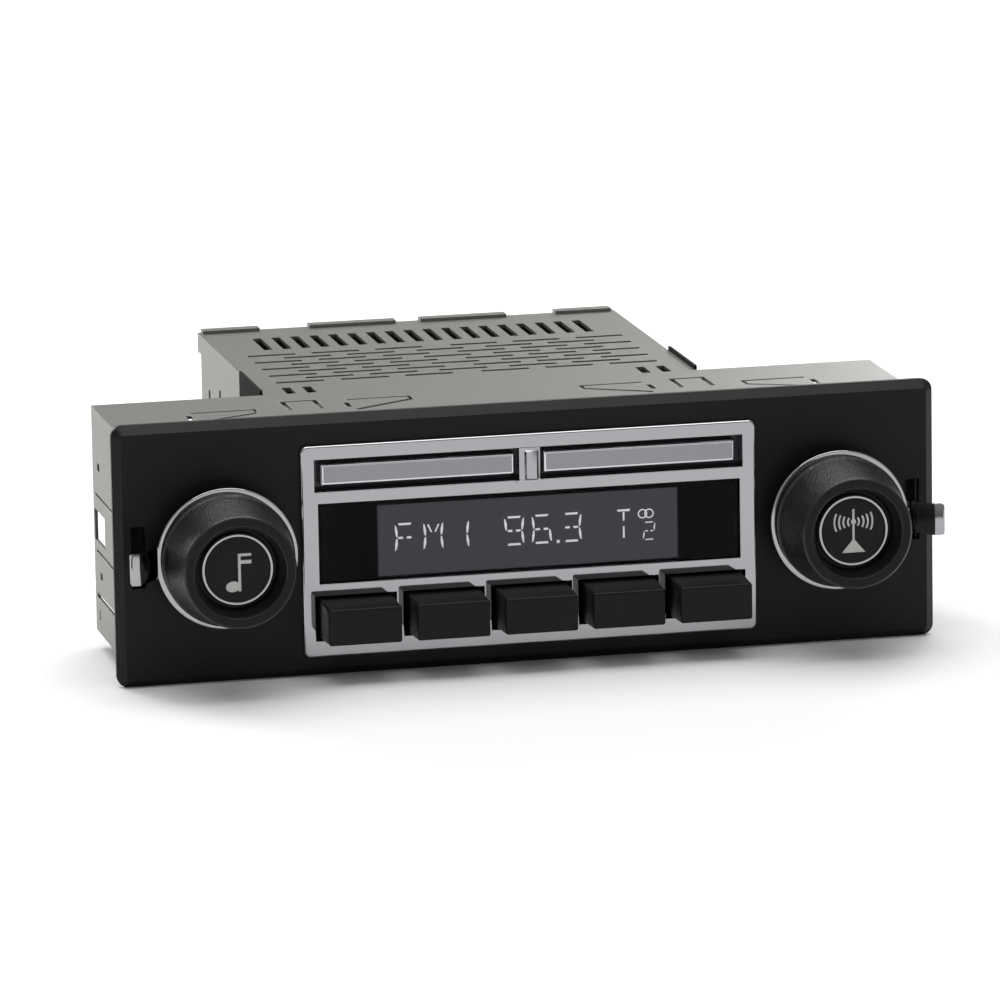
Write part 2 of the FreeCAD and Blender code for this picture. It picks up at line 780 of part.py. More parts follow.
def make_knob(word, side):
    x = f"{side} * shaft_offset"
    inner = "(knob_base_radius - knob_wall)"
    keep(word + "_knob", turned(word + "_knob_body", x, [
        ("0", "-shaft_front"),
        ("shaft_radius", "-shaft_front"),
        ("shaft_radius", "-knob_rear - 1.4"),
        ("knob_hub_radius", "-knob_rear - 1.4"),
        ("knob_hub_radius", "-knob_rear - 7"),
        (f"{inner} - 1.6", "-knob_rear - 7"),
        (f"{inner}", "-knob_rear"),
        ("knob_base_radius - 0.5", "-knob_rear"),
        ("knob_base_radius", "-knob_rear - 0.5"),
        ("knob_base_radius", "-knob_rear - 1.3"),
        ("knob_rim_radius + 0.9", "-front_reach + 1.9"),
        ("knob_rim_radius + 0.62", "-front_reach + 0.9"),
        ("knob_rim_radius", "-front_reach + 0.12"),
        ("knob_rim_radius - 0.5", "-front_reach"),
        ("knob_rim_radius - 1.5", "-front_reach"),
        ("dish_radius + 0.8", "-front_reach + 1.0"),
        ("dish_radius + 0.25", "-front_reach + 2.0"),
        ("dish_radius", "-front_reach + 3.0"),
        ("dish_radius", "-dish_floor"),
        ("0", "-dish_floor"),
    ]))
    keep(word + "_knob_cap", turned(word + "_cap_body", x, [
        ("0", "-dish_floor"),
        ("cap_disc_radius", "-dish_floor"),
        ("cap_disc_radius", "-cap_face + 0.45"),
        ("icon_ring_inner", "-cap_face + 0.45"),
        ("icon_ring_inner", "-cap_face + 0.1"),
        ("icon_ring_inner - 0.1", "-cap_face"),
        ("0", "-cap_face"),
    ]))
    keep(word + "_knob_ring", turned(word + "_ring_body", x, [
        ("icon_ring_inner", "-cap_face + 0.45"),
        ("icon_ring_outer", "-cap_face + 0.45"),
        ("icon_ring_outer", "-icon_ring_face + 0.15"),
        ("icon_ring_outer - 0.15", "-icon_ring_face"),
        ("icon_ring_inner + 0.15", "-icon_ring_face"),
        ("icon_ring_inner", "-icon_ring_face + 0.15"),
    ]))
    keep(word + "_shaft", turned(word + "_shaft_body", x, [
        ("0", "-shaft_front"),
        ("shaft_radius", "-shaft_front"),
        ("shaft_radius", "shaft_rear"),
        ("0", "shaft_rear"),
    ]))


def make_lever(word, side):
    x = f"{side} * shaft_offset"
    ring_front = "(-lever_rear - lever_thick)"
    body = turned(word + "_lever_body", x, [
        ("tube_radius", "-lever_hub_rear"),
        ("lever_hub_radius", "-lever_hub_rear"),
        ("lever_hub_radius", "-lever_rear"),
        ("lever_radius - 0.25", "-lever_rear"),
        ("lever_radius", "-lever_rear - 0.25"),
        ("lever_radius", f"{ring_front} + 0.25"),
        ("lever_radius - 0.25", ring_front),
        ("tube_radius", ring_front),
    ])
    arm = top_sketch(body, word + "_arm_profile", "-arm_height / 2", x)
    points = [
        ("lever_radius - 1", "-lever_rear - 0.05"),
        ("lever_radius + 0.4", "-lever_rear - 0.05"),
        ("arm_bend + 0.3", "-arm_front + lever_thick"),
        ("arm_reach", "-arm_front + lever_thick"),
        ("arm_reach", "-arm_front"),
        ("arm_bend", "-arm_front"),
        ("lever_radius - 0.1", f"{ring_front} + 0.05"),
        ("lever_radius - 1", f"{ring_front} + 0.05"),
    ]
    outline(arm, [(f"{side} * ({radius})", depth) for radius, depth in points])
    feature(body, "Pad", word + "_arm", arm, "arm_height")
    keep(word + "_lever_ring", body)
    keep(word + "_lever_tube", turned(word + "_tube_body", x, [
        ("shaft_radius + running_gap", ring_front),
        ("tube_radius", ring_front),
        ("tube_radius", "tube_rear"),
        ("shaft_radius + running_gap", "tube_rear"),
    ]))


for word, side in sides.items():
    make_knob(word, side)
    make_lever(word, side)


def make_controls():
    bushings, nuts, washers, controls = [], [], [], []
    for word, side in sides.items():
        x = f"{side} * shaft_offset"
        barrel = rod(word + "_bushing_barrel", x, ("-bushing_front", bracket_rear), "0",
                     "bushing_radius")
        bore = rod(word + "_bushing_bore", x, ("-bushing_front - 1", f"{bracket_rear} + 1"), "0",
                   "tube_radius + running_gap")
        bushings.append(cut(word + "_bushing", barrel, [bore]))
        washer_front = "(bezel_thick - washer_thick)"
        nut = hexagon(word + "_nut_blank", x, (f"{washer_front} - nut_thick", washer_front), "0",
                      "nut_across")
        nut_bore = rod(word + "_nut_bore", x, ("-1", "bezel_thick + 1"), "0",
                       "bushing_radius + clamp_gap")
        nuts.append(cut(word + "_nut", nut, [nut_bore]))
        washer = rod(word + "_washer_blank", x, (washer_front, "bezel_thick"), "0", "washer_radius")
        washer_bore = rod(word + "_washer_bore", x, ("-1", "bezel_thick + 1"), "0",
                          "bushing_radius + clamp_gap")
        washers.append(cut(word + "_washer", washer, [washer_bore]))
        case = block(word + "_control_case", (f"{x} - control_side / 2", f"{x} + control_side / 2"),
                     (bracket_rear, control_rear), ("-control_side / 2", "control_side / 2"))
        wide = rod(word + "_control_wide", x, (f"{bracket_rear} - 1", "tube_rear + 0.2"), "0",
                   "tube_radius + running_gap")
        narrow = rod(word + "_control_narrow", x, ("tube_rear + 0.2", "shaft_rear + 0.2"), "0",
                     "shaft_radius + running_gap")
        controls.append(cut(word + "_control", case, [wide, narrow]))
    keep("shaft_bushings", group("bushing_pair", bushings))
    keep("shaft_nuts", group("nut_pair", nuts))
    keep("shaft_washers", group("washer_pair", washers))
    keep("rotary_controls", group("control_pair", controls))


make_controls()


def make_ribbons():
    """Two short flat cables from the controls to the board behind the buttons."""
    ribbons = []
    run = (f"({control_rear} + 1.5)", f"({control_rear} + 2.1)")
    board_end = "(front_board_half - 6)"
    control_end = "(shaft_offset - control_side / 2 + 4)"
    for word, side in sides.items():
        spans = {
            "run": ((board_end, control_end), run),
            "control_tail": ((control_end, f"({control_end} + 0.6)"), (control_rear, run[1])),
            "board_tail": ((f"({board_end} - 0.6)", board_end),
                           (f"{front_board_front} + board_thick", run[1])),
        }
        strips = [block(f"{word}_ribbon_{name}", [f"{side} * {x}" for x in across][::side],
                        depth, ("-5", "5"))
                  for name, (across, depth) in spans.items()]
        ribbons.append(together(word + "_ribbon", strips))
    keep("ribbon_cables", group("ribbon_pair", ribbons))


make_ribbons()

# ---------------------------------------------------------------- chassis


def rear_hole_tools():
    """What passes through the rear wall, as cutting solids."""
    wall = (f"{rear_wall_front} - 1", "chassis_rear + 1")
    tools = [
        block("plug_hole", ("plug_left - panel_gap", "plug_left + plug_width + panel_gap"), wall,
              (f"{main_top} - panel_gap", f"{main_top} + plug_height + panel_gap")),
        rod("aerial_hole", "aerial_offset", wall, "aerial_level", "aerial_radius + panel_gap"),
        rod("stud_hole", "0", wall, "stud_level", "stud_root_radius + clamp_gap"),
    ]
    for order in (0, 1):
        tools.append(rod(f"line_hole_{order}", "line_offset", wall,
                         f"line_level + {order} * line_pitch", "line_root_radius + panel_gap"))
    return tools


def make_tray():
    floor = block("tray_floor_sheet", (f"-{tray_half}", tray_half), (bracket_rear, rear_wall_front),
                  ("chassis_bottom", tray_floor))
    pieces = [floor]
    tools = []
    for side in sides.values():
        wall = block(f"tray_wall_{side}", [f"{side} * ({tray_half} - sheet)", f"{side} * {tray_half}"][::side],
                     (bracket_rear, rear_wall_front), (tray_floor, f"{cover_under} - fold_gap"))
        ear = block(f"tray_ear_{side}",
                    [f"{side} * {tray_half}", f"{side} * ({tray_half} + ear_reach)"][::side],
                    (bracket_rear, f"{bracket_rear} + sheet"), ("-ear_half", "ear_half"))
        pieces += [wall, ear]
        wall_span = [f"{side} * ({tray_half} - sheet - 1)", f"{side} * ({tray_half} + 1)"][::side]
        tools.append(block(f"ribbon_slot_{side}", wall_span, (f"{control_rear} + 1", f"{control_rear} + 2.6"),
                           ("-5.5", "5.5")))
        for order in (0, 1):
            tools.append(cross_rod(f"side_hole_{order}_{side}", wall_span,
                                   f"side_hole_first + {order} * side_hole_pitch", "0",
                                   "side_hole_radius"))
        for depth, level in ((119.0, 12.2), (105.5, 14.6)):
            tools.append(block(f"side_slot_{depth}_{side}".replace(".", "_"), wall_span,
                               (depth, depth + 2), (level - 3, level + 1)))
        for level in (-1, 1):
            tools.append(rod(f"ear_hole_{side}_{level}", f"{side} * ({tray_half} + ear_reach / 2)",
                             (f"{bracket_rear} - 1", f"{bracket_rear} + sheet + 1"),
                             f"{level} * (ear_half - 4)", "screw_radius + clamp_gap"))
    keep("chassis_tray", cut("tray_solid", together("tray_sheet", pieces), tools))


def make_rear_panel():
    pieces = [block("rear_sheet", (f"-{tray_half}", tray_half), (rear_wall_front, "chassis_rear"),
                    ("chassis_bottom", f"{cover_under} - fold_gap"))]
    for side in sides.values():
        for order, (near, far) in enumerate([(3.0, 24.0), (36.0, 49.7)]):
            across = [f"{side} * {near}", f"{side} * {far}"][::side]
            pieces.append(block(f"tab_{order}_{side}", across, (rear_wall_front, "chassis_rear"),
                                (f"{cover_under} - fold_gap", "chassis_top + tab_rise")))
            pieces.append(block(f"tab_fold_{order}_{side}", across,
                                ("chassis_rear - tab_lap", "chassis_rear"),
                                ("chassis_top + tab_rise", "chassis_top + tab_rise + tab_sheet")))
    keep("rear_panel", cut("rear_solid", together("rear_sheet_tabs", pieces), rear_hole_tools()))


make_tray()
make_rear_panel()

odd_louvres = [-39.3, -24.1, -9.0, 9.0, 24.1, 39.3]
even_louvres = [-31.5, -16.5, 0.0, 16.5, 31.5]
front_vents = [-44.0, -39.2, 39.2, 44.0]
vent_count = 18


def make_cover():
    body = start_body("cover_body")
    section = front_sketch(body, "cover_section", cover_front)
    inside = f"({chassis_half} - sheet)"
    low = "(chassis_top - cover_flange)"
    outline(section, [
        (f"-{chassis_half}", low), (f"-{chassis_half}", "chassis_top"),
        (chassis_half, "chassis_top"), (chassis_half, low),
        (inside, low), (inside, cover_under), (f"-{inside}", cover_under), (f"-{inside}", low),
    ])
    feature(body, "Pad", "cover_sheet", section, f"{rear_wall_front} - fold_gap - {cover_front}",
            reverse=True)

    vent = top_sketch(body, "vent_outline", "chassis_top")
    first = "(-vent_pitch * 8.5)"
    rectangle(vent, (f"{first} - vent_width / 2", f"{first} + vent_width / 2"),
              ("chassis_rear - vent_inset - vent_length", "chassis_rear - vent_inset"))
    vent_cut = feature(body, "Pocket", "vent", vent, "sheet + 0.5")
    vents = body.newObject("PartDesign::LinearPattern", "vent_row")
    vents.Originals = [vent_cut]
    vents.Direction = (vent, ["H_Axis"])
    vents.Occurrences = vent_count
    bind(vents, Length=f"vent_pitch * {vent_count - 1}")
    body.Tip = vents

    for name, columns, first_row, rows in (("odd", odd_louvres, "louvre_first", 5),
                                           ("even", even_louvres, "louvre_first + louvre_pitch / 2", 4)):
        row = top_sketch(body, name + "_louvre_outline", "chassis_top")
        for x in columns:
            rectangle(row, (f"{x} - louvre_length / 2", f"{x} + louvre_length / 2"),
                      (f"{first_row} - louvre_width / 2", f"{first_row} + louvre_width / 2"))
        row_cut = feature(body, "Pocket", name + "_louvre", row, "sheet + 0.5")
        rows_cut = body.newObject("PartDesign::LinearPattern", name + "_louvres")
        rows_cut.Originals = [row_cut]
        rows_cut.Direction = (row, ["V_Axis"])
        rows_cut.Occurrences = rows
        bind(rows_cut, Length=f"louvre_pitch * {rows - 1}")
        body.Tip = rows_cut

    short = top_sketch(body, "front_vent_outline", "chassis_top")
    for x in front_vents:
        rectangle(short, (f"{x} - vent_width / 2", f"{x} + vent_width / 2"), ("48", "55.5"))
    feature(body, "Pocket", "front_vents", short, "sheet + 0.5")
    keep("top_cover", body)


make_cover()


def make_side_springs():
    plates = [block(f"spring_plate_{side}",
                    [f"{side} * {chassis_half}", f"{side} * ({chassis_half} + 0.6)"][::side],
                    ("49", "74"), ("chassis_top - 6", "chassis_top + 0.9"))
              for side in sides.values()]
    keep("side_springs", group("side_spring_pair", plates))


make_side_springs()

# ---------------------------------------------------------------- inside the chassis

board_corners = [(across, depth) for across in ("-post_offset", "post_offset")
                 for depth in ("main_front + post_inset", f"{main_rear} - post_inset_rear")]


def make_main_board():
    plate = block("main_board_plate", ("-main_half", "main_half"), ("main_front", main_rear),
                  ("main_under", main_top))
    holes, posts, screws = [], [], []
    for order, (x, depth) in enumerate(board_corners):
        holes.append(post(f"board_hole_{order}", x, depth, ("main_under - 1", f"{main_top} + 1"),
                          "screw_radius + 0.2"))
        blank = post(f"post_blank_{order}", x, depth, (tray_floor, "main_under"), "post_radius")
        bore = post(f"post_bore_{order}", x, depth, (f"{tray_floor} + 1", "main_under + 1"),
                    "screw_radius + clamp_gap")
        posts.append(cut(f"standoff_{order}", blank, [bore]))
        shank = post(f"screw_shank_{order}", x, depth, (f"{tray_floor} + 2", main_top),
                     "screw_radius")
        head = post(f"screw_head_{order}", x, depth, (main_top, f"{main_top} + screw_head_tall"),
                    "screw_head_radius")
        screws.append(together(f"board_screw_{order}", [shank, head]))
    keep("main_board", cut("main_board_solid", plate, holes))
    keep("board_standoffs", group("standoff_group", posts))
    keep("board_screws", group("board_screw_group", screws))


make_main_board()


def make_electronics():
    keep("tuner_module", block("tuner_can", ("-38", "-10"), ("52", "92"),
                               (main_top, f"{main_top} + 12")))
    keep("amplifier_chip", block("amplifier_case", ("-38", "-14"),
                                 (f"{rear_wall_front} - 4.8", rear_wall_front), ("-12", "8")))
    cans = []
    for order, x in enumerate(("0", "14", "28")):
        can = post(f"capacitor_can_{order}", x, "chassis_rear - 32", (f"{main_top} + 0.6", f"{main_top} + 21"), "6")
        neck = post(f"capacitor_foot_{order}", x, "chassis_rear - 32", (main_top, f"{main_top} + 0.6"), "5")
        cans.append(together(f"capacitor_{order}", [can, neck]))
    keep("capacitors", group("capacitor_group", cans))
    choke = doc.addObject("Part::Torus", "choke_ring")
    bind(choke, Radius1="8.5", Radius2="3.4")
    place(choke, "24", "66", f"{main_top} + 3.4")
    keep("choke_coil", choke)


make_electronics()

# ---------------------------------------------------------------- rear panel


def make_heat_sink():
    body = start_body("heat_sink_body")
    base = front_sketch(body, "sink_outline", "chassis_rear")
    rectangle(base, ("sink_left", "sink_right"), ("sink_low", "sink_high"))
    feature(body, "Pad", "sink_base_plate", base, "sink_base", reverse=True)
    fin = front_sketch(body, "fin_outline", "chassis_rear + sink_base")
    rectangle(fin, ("sink_left", "sink_left + fin_thick"), ("sink_low", "sink_high"))
    fin_pad = feature(body, "Pad", "fin", fin, "fin_tall", reverse=True)
    fins = body.newObject("PartDesign::LinearPattern", "fins")
    fins.Originals = [fin_pad]
    fins.Direction = (fin, ["H_Axis"])
    fins.Occurrences = 1 + int(number("(sink_right - sink_left - fin_thick) / fin_pitch"))
    bind(fins, Length="sink_right - sink_left - fin_thick")
    body.Tip = fins
    keep("heat_sink", body)


def make_sockets():
    plug_right = "(plug_left + plug_width)"
    plug_top = f"({main_top} + plug_height)"
    plug_rear = "(chassis_rear + plug_reach)"
    shell = block("plug_shell", ("plug_left", plug_right), ("chassis_rear - plug_inside", plug_rear),
                  (main_top, plug_top))
    cavity = block("plug_cavity", ("plug_left + plug_wall", f"{plug_right} - plug_wall"),
                   (f"{plug_rear} - plug_depth", f"{plug_rear} + 1"),
                   (f"{main_top} + plug_wall", f"{plug_top} - plug_wall"))
    keep("wiring_connector", cut("plug_solid", shell, [cavity]))

    aerial_rear = "(chassis_rear + aerial_reach)"
    barrel = rod("aerial_barrel", "aerial_offset", ("chassis_rear - aerial_inside", aerial_rear), "aerial_level",
                 "aerial_radius")
    collar = rod("aerial_collar", "aerial_offset", (f"{rear_wall_front} - 1.2", rear_wall_front),
                 "aerial_level", "aerial_radius + 1.6")
    bore = rod("aerial_bore_tool", "aerial_offset",
               (f"{aerial_rear} - aerial_depth", f"{aerial_rear} + 1"), "aerial_level", "aerial_bore")
    keep("aerial_socket", cut("aerial_solid", together("aerial_blank", [barrel, collar]), [bore]))

    jack_half = "(line_root_radius + 0.2)"
    pieces, bores = [], []
    pieces.append(block("line_block", (f"line_offset - {jack_half}", f"line_offset + {jack_half}"),
                        ("chassis_rear - sheet - 10", rear_wall_front),
                        (main_top, f"line_level + line_pitch + {jack_half}")))
    for order in (0, 1):
        level = f"line_level + {order} * line_pitch"
        pieces.append(rod(f"line_root_{order}", "line_offset", (rear_wall_front, "chassis_rear"),
                          level, "line_root_radius"))
        pieces.append(rod(f"line_jack_{order}", "line_offset",
                          ("chassis_rear", "chassis_rear + line_reach"), level, "line_radius"))
        bores.append(rod(f"line_bore_{order}", "line_offset",
                         ("chassis_rear - 2", "chassis_rear + line_reach + 1"), level, "1.6"))
    keep("line_sockets", cut("line_solid", together("line_blank", pieces), bores))

    holder = block("fuse_holder", ("36", "46"), ("chassis_rear", "chassis_rear + 3.5"), ("9", "18"))
    blade = block("fuse_blade", ("37.2", "44.8"), ("chassis_rear + 3.5", "chassis_rear + 7"),
                  ("10.5", "16.5"))
    keep("fuse", together("fuse_solid", [holder, blade]))


def make_stud():
    nut_rear = "(chassis_rear + stud_nut_thick)"
    shank = rod("stud_shank", "0", (nut_rear, rear_reach), "stud_level", "stud_radius")
    root = rod("stud_root", "0", (rear_wall_front, nut_rear), "stud_level", "stud_root_radius")
    head = rod("stud_head", "0", (f"{rear_wall_front} - 2.4", rear_wall_front), "stud_level",
               "stud_root_radius + 1.6")
    nut = hexagon("stud_nut_blank", "0", ("chassis_rear", nut_rear), "stud_level",
                  "stud_nut_across")
    bore = rod("stud_nut_bore", "0", ("chassis_rear - 1", rear_reach), "stud_level",
               "stud_root_radius + clamp_gap")
    keep("support_stud", together("stud_solid", [shank, root, head]))
    keep("stud_nut", cut("stud_nut_solid", nut, [bore]))


make_heat_sink()
make_sockets()
make_stud()


def make_bracket_screws():
    screws = []
    for side in sides.values():
        for level in (-1, 1):
            x = f"{side} * ({tray_half} + ear_reach / 2)"
            z = f"{level} * (ear_half - 4)"
            shank = rod(f"ear_shank_{side}_{level}", x,
                        ("bezel_thick", f"{bracket_rear} + sheet"), z, "screw_radius")
            head = rod(f"ear_head_{side}_{level}", x,
                       (f"{bracket_rear} + sheet", f"{bracket_rear} + sheet + screw_head_tall"), z,
                       "screw_head_radius")
            screws.append(together(f"ear_screw_{side}_{level}", [shank, head]))
    keep("bracket_screws", group("bracket_screw_group", screws))


make_bracket_screws()

# ---------------------------------------------------------------- check and write

doc.recompute()
faults = [item.Name for item in doc.Objects if {"Invalid", "Error"} & set(item.State)]
if faults:
    raise RuntimeError("these objects failed: " + ", ".join(faults))
for name, item in nodes.items():
    shape = item.Shape
    if shape.isNull() or not shape.isValid() or not shape.Solids:
        raise RuntimeError(name + " has no valid solid")
for name, item in nodes.items():
    item.Shape.exportStep(f"parts/{name}.step")
print(len(nodes), "sub-parts written")
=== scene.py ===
import json
import math
import bpy
import bmesh
from mathutils import Matrix, Vector

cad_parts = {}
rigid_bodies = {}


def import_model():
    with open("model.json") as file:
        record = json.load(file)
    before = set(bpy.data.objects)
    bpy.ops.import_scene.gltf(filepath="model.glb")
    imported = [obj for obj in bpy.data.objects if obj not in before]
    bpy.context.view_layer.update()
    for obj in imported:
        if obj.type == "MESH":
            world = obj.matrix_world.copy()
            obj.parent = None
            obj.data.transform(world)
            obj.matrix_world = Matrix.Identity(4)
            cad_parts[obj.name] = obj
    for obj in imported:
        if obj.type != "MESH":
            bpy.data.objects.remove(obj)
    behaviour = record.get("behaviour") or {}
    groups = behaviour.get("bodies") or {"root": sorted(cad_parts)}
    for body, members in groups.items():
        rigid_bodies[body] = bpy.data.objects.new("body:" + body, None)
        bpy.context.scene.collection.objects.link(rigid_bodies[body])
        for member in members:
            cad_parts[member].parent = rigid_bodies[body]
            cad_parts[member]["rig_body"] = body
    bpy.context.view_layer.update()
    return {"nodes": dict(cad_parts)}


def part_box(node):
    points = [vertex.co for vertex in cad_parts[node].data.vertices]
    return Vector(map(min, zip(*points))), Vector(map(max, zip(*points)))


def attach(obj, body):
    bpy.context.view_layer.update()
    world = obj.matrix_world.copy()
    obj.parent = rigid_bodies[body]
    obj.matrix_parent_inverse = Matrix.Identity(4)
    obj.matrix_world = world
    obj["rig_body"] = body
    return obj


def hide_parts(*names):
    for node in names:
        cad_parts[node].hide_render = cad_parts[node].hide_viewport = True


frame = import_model()
cad = frame["nodes"]
print("frame loaded:", len(cad), "parts")

mm = 0.001
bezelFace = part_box("bezel")[0][1]
bezelLow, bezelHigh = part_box("bezel")
shaftLevel = (bezelLow[2] + bezelHigh[2]) / 2
shaftPlaces = {side: (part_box(side + "_shaft")[0][0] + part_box(side + "_shaft")[1][0]) / 2
               for side in ("left", "right")}
knobBodies = {"left": "volume_knob", "right": "tuning_knob"}
leverBodies = {"left": "tone_lever", "right": "balance_lever"}


# meshes

def meshFrom(name, verts, faces):
    mesh = bpy.data.meshes.new(name)
    mesh.from_pydata([Vector(v) for v in verts], [], faces)
    work = bmesh.new()
    work.from_mesh(mesh)
    bmesh.ops.remove_doubles(work, verts=work.verts, dist=1e-7)
    bmesh.ops.recalc_face_normals(work, faces=work.faces)
    work.to_mesh(mesh)
    work.free()
    return mesh


def softShade(mesh, angle=30):
    mesh.shade_smooth()
    mesh.set_sharp_from_angle(angle=math.radians(angle))


def bevelled(mesh, width, segments=3, angle=30):
    # rounds a mesh's sharp edges and gives back a plain mesh
    holder = bpy.data.objects.new("bevelHolder", mesh)
    bpy.context.scene.collection.objects.link(holder)
    softShade(mesh, angle)
    edge = holder.modifiers.new("edges", "BEVEL")
    edge.width = width
    edge.segments = segments
    edge.limit_method = "ANGLE"
    edge.angle_limit = math.radians(angle)
    edge.harden_normals = True
    edge.use_clamp_overlap = True
    bpy.context.view_layer.update()
    solved = holder.evaluated_get(bpy.context.evaluated_depsgraph_get())
    result = bpy.data.meshes.new_from_object(solved)
    bpy.data.objects.remove(holder)
    return result


def cleanCopy(nodeName):
    # a merged copy of a part's mesh, with its flat faces whole again
    mesh = cad[nodeName].data.copy()
    work = bmesh.new()
    work.from_mesh(mesh)
    bmesh.ops.remove_doubles(work, verts=work.verts, dist=1e-6)
    bmesh.ops.dissolve_limit(work, angle_limit=math.radians(0.5), verts=work.verts, edges=work.edges)
    work.to_mesh(mesh)
    work.free()
    return mesh


def addPiece(name, mesh, material, body, stands=()):
    piece = bpy.data.objects.new(name, mesh)
    bpy.context.scene.collection.objects.link(piece)
    mesh.name = name
    if material is not None:
        mesh.materials.clear()
        mesh.materials.append(material)
    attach(piece, body)
    if stands:
        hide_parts(*stands)
    return piece


def bodyOf(nodeName):
    return cad[nodeName]["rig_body"]


def softened(nodeName, material, width, segments=2, angle=30):
    # the same part with its edges rounded a little
    mesh = bevelled(cleanCopy(nodeName), width * mm, segments, angle)
    return addPiece(nodeName + "_shape", mesh, material, bodyOf(nodeName), (nodeName,))


def roundedLine(points, steps=6):
    # points are (across, along, fillet); gives the line with its corners rounded
    line = []
    count = len(points)
    for i, (x, y, fillet) in enumerate(points):
        here = Vector((x, y))
        if fillet <= 0:
            line.append(here)
            continue
        before = Vector(points[(i - 1) % count][:2]) - here
        after = Vector(points[(i + 1) % count][:2]) - here
        half = before.angle(after) / 2
        run = min(fillet / math.tan(half), before.length * 0.49, after.length * 0.49)
        start, end = here + before.normalized() * run, here + after.normalized() * run
        for k in range(steps + 1):
            t = k / steps
            line.append((1 - t) ** 2 * start + 2 * t * (1 - t) * here + t ** 2 * end)
    return line


def spunMesh(name, line, centre, steps=192, closed=True):
    # turns a line of (radius, depth behind the bezel's face), in mm, about a shaft
    verts, faces = [], []
    count = len(line)
    for s in range(steps):
        angle = 2 * math.pi * s / steps
        for radius, depth in line:
            verts.append((centre[0] + radius * mm * math.cos(angle), bezelFace + depth * mm,
                          centre[1] + radius * mm * math.sin(angle)))
    for s in range(steps):
        here, following = s * count, ((s + 1) % steps) * count
        for i in range(count if closed else count - 1):
            j = (i + 1) % count
            faces.append((here + i, here + j, following + j, following + i))
    mesh = meshFrom(name, verts, faces)
    work = bmesh.new()
    work.from_mesh(mesh)
    bmesh.ops.dissolve_degenerate(work, dist=1e-8, edges=work.edges)
    bmesh.ops.recalc_face_normals(work, faces=work.faces)
    work.to_mesh(mesh)
    work.free()
    return mesh


def prismMesh(name, outlines, front, thick, centre=(0, 0)):
    # thin raised shapes on a face that looks forward; outlines are in mm, seen from the front,
    # each a hair lower than the last so that overlaps stay clean
    verts, faces = [], []
    for order, shape in enumerate(outlines):
        start, count = len(verts), len(shape)
        for depth in (front + order * 0.002 * mm, front + thick):
            verts += [(centre[0] + x * mm, depth, centre[1] + z * mm) for x, z in shape]
        faces.append(tuple(range(start, start + count)))
        faces.append(tuple(range(start + 2 * count - 1, start + count - 1, -1)))
        for i in range(count):
            j = (i + 1) % count
            faces.append((start + i, start + j, start + count + j, start + count + i))
    mesh = bpy.data.meshes.new(name)
    mesh.from_pydata(verts, [], faces)
    work = bmesh.new()
    work.from_mesh(mesh)
    bmesh.ops.recalc_face_normals(work, faces=work.faces)
    work.to_mesh(mesh)
    work.free()
    return mesh


def bar(x0, z0, x1, z1, width):
    # a straight stroke as an outline
    run = Vector((x1 - x0, z1 - z0)).normalized() * width / 2
    side = Vector((-run.y, run.x))
    return [(x0 + side.x, z0 + side.y), (x1 + side.x, z1 + side.y),
            (x1 - side.x, z1 - side.y), (x0 - side.x, z0 - side.y)]


def arcBar(x, z, radius, start, end, width, steps=24):
    # a curved stroke as an outline
    turns = [math.radians(start + (end - start) * i / steps) for i in range(steps + 1)]
    outer = [(x + (radius + width / 2) * math.cos(t), z + (radius + width / 2) * math.sin(t)) for t in turns]
    inner = [(x + (radius - width / 2) * math.cos(t), z + (radius - width / 2) * math.sin(t)) for t in turns]
    return outer + inner[::-1]


def oval(x, z, across, high, turn=0, steps=40):
    spin = math.radians(turn)
    points = []
    for i in range(steps):
        t = 2 * math.pi * i / steps
        a, b = across * math.cos(t), high * math.sin(t)
        points.append((x + a * math.cos(spin) - b * math.sin(spin), z + a * math.sin(spin) + b * math.cos(spin)))
    return points


# shared shader groups

def shaderGroup(name, inputs, outputs):
    group = bpy.data.node_groups.new(name, "ShaderNodeTree")
    for word, kind, value in inputs:
        socket = group.interface.new_socket(word, in_out="INPUT", socket_type=kind)
        socket.default_value = value
    for word, kind in outputs:
        group.interface.new_socket(word, in_out="OUTPUT", socket_type=kind)
    return group, group.nodes.new("NodeGroupInput"), group.nodes.new("NodeGroupOutput")


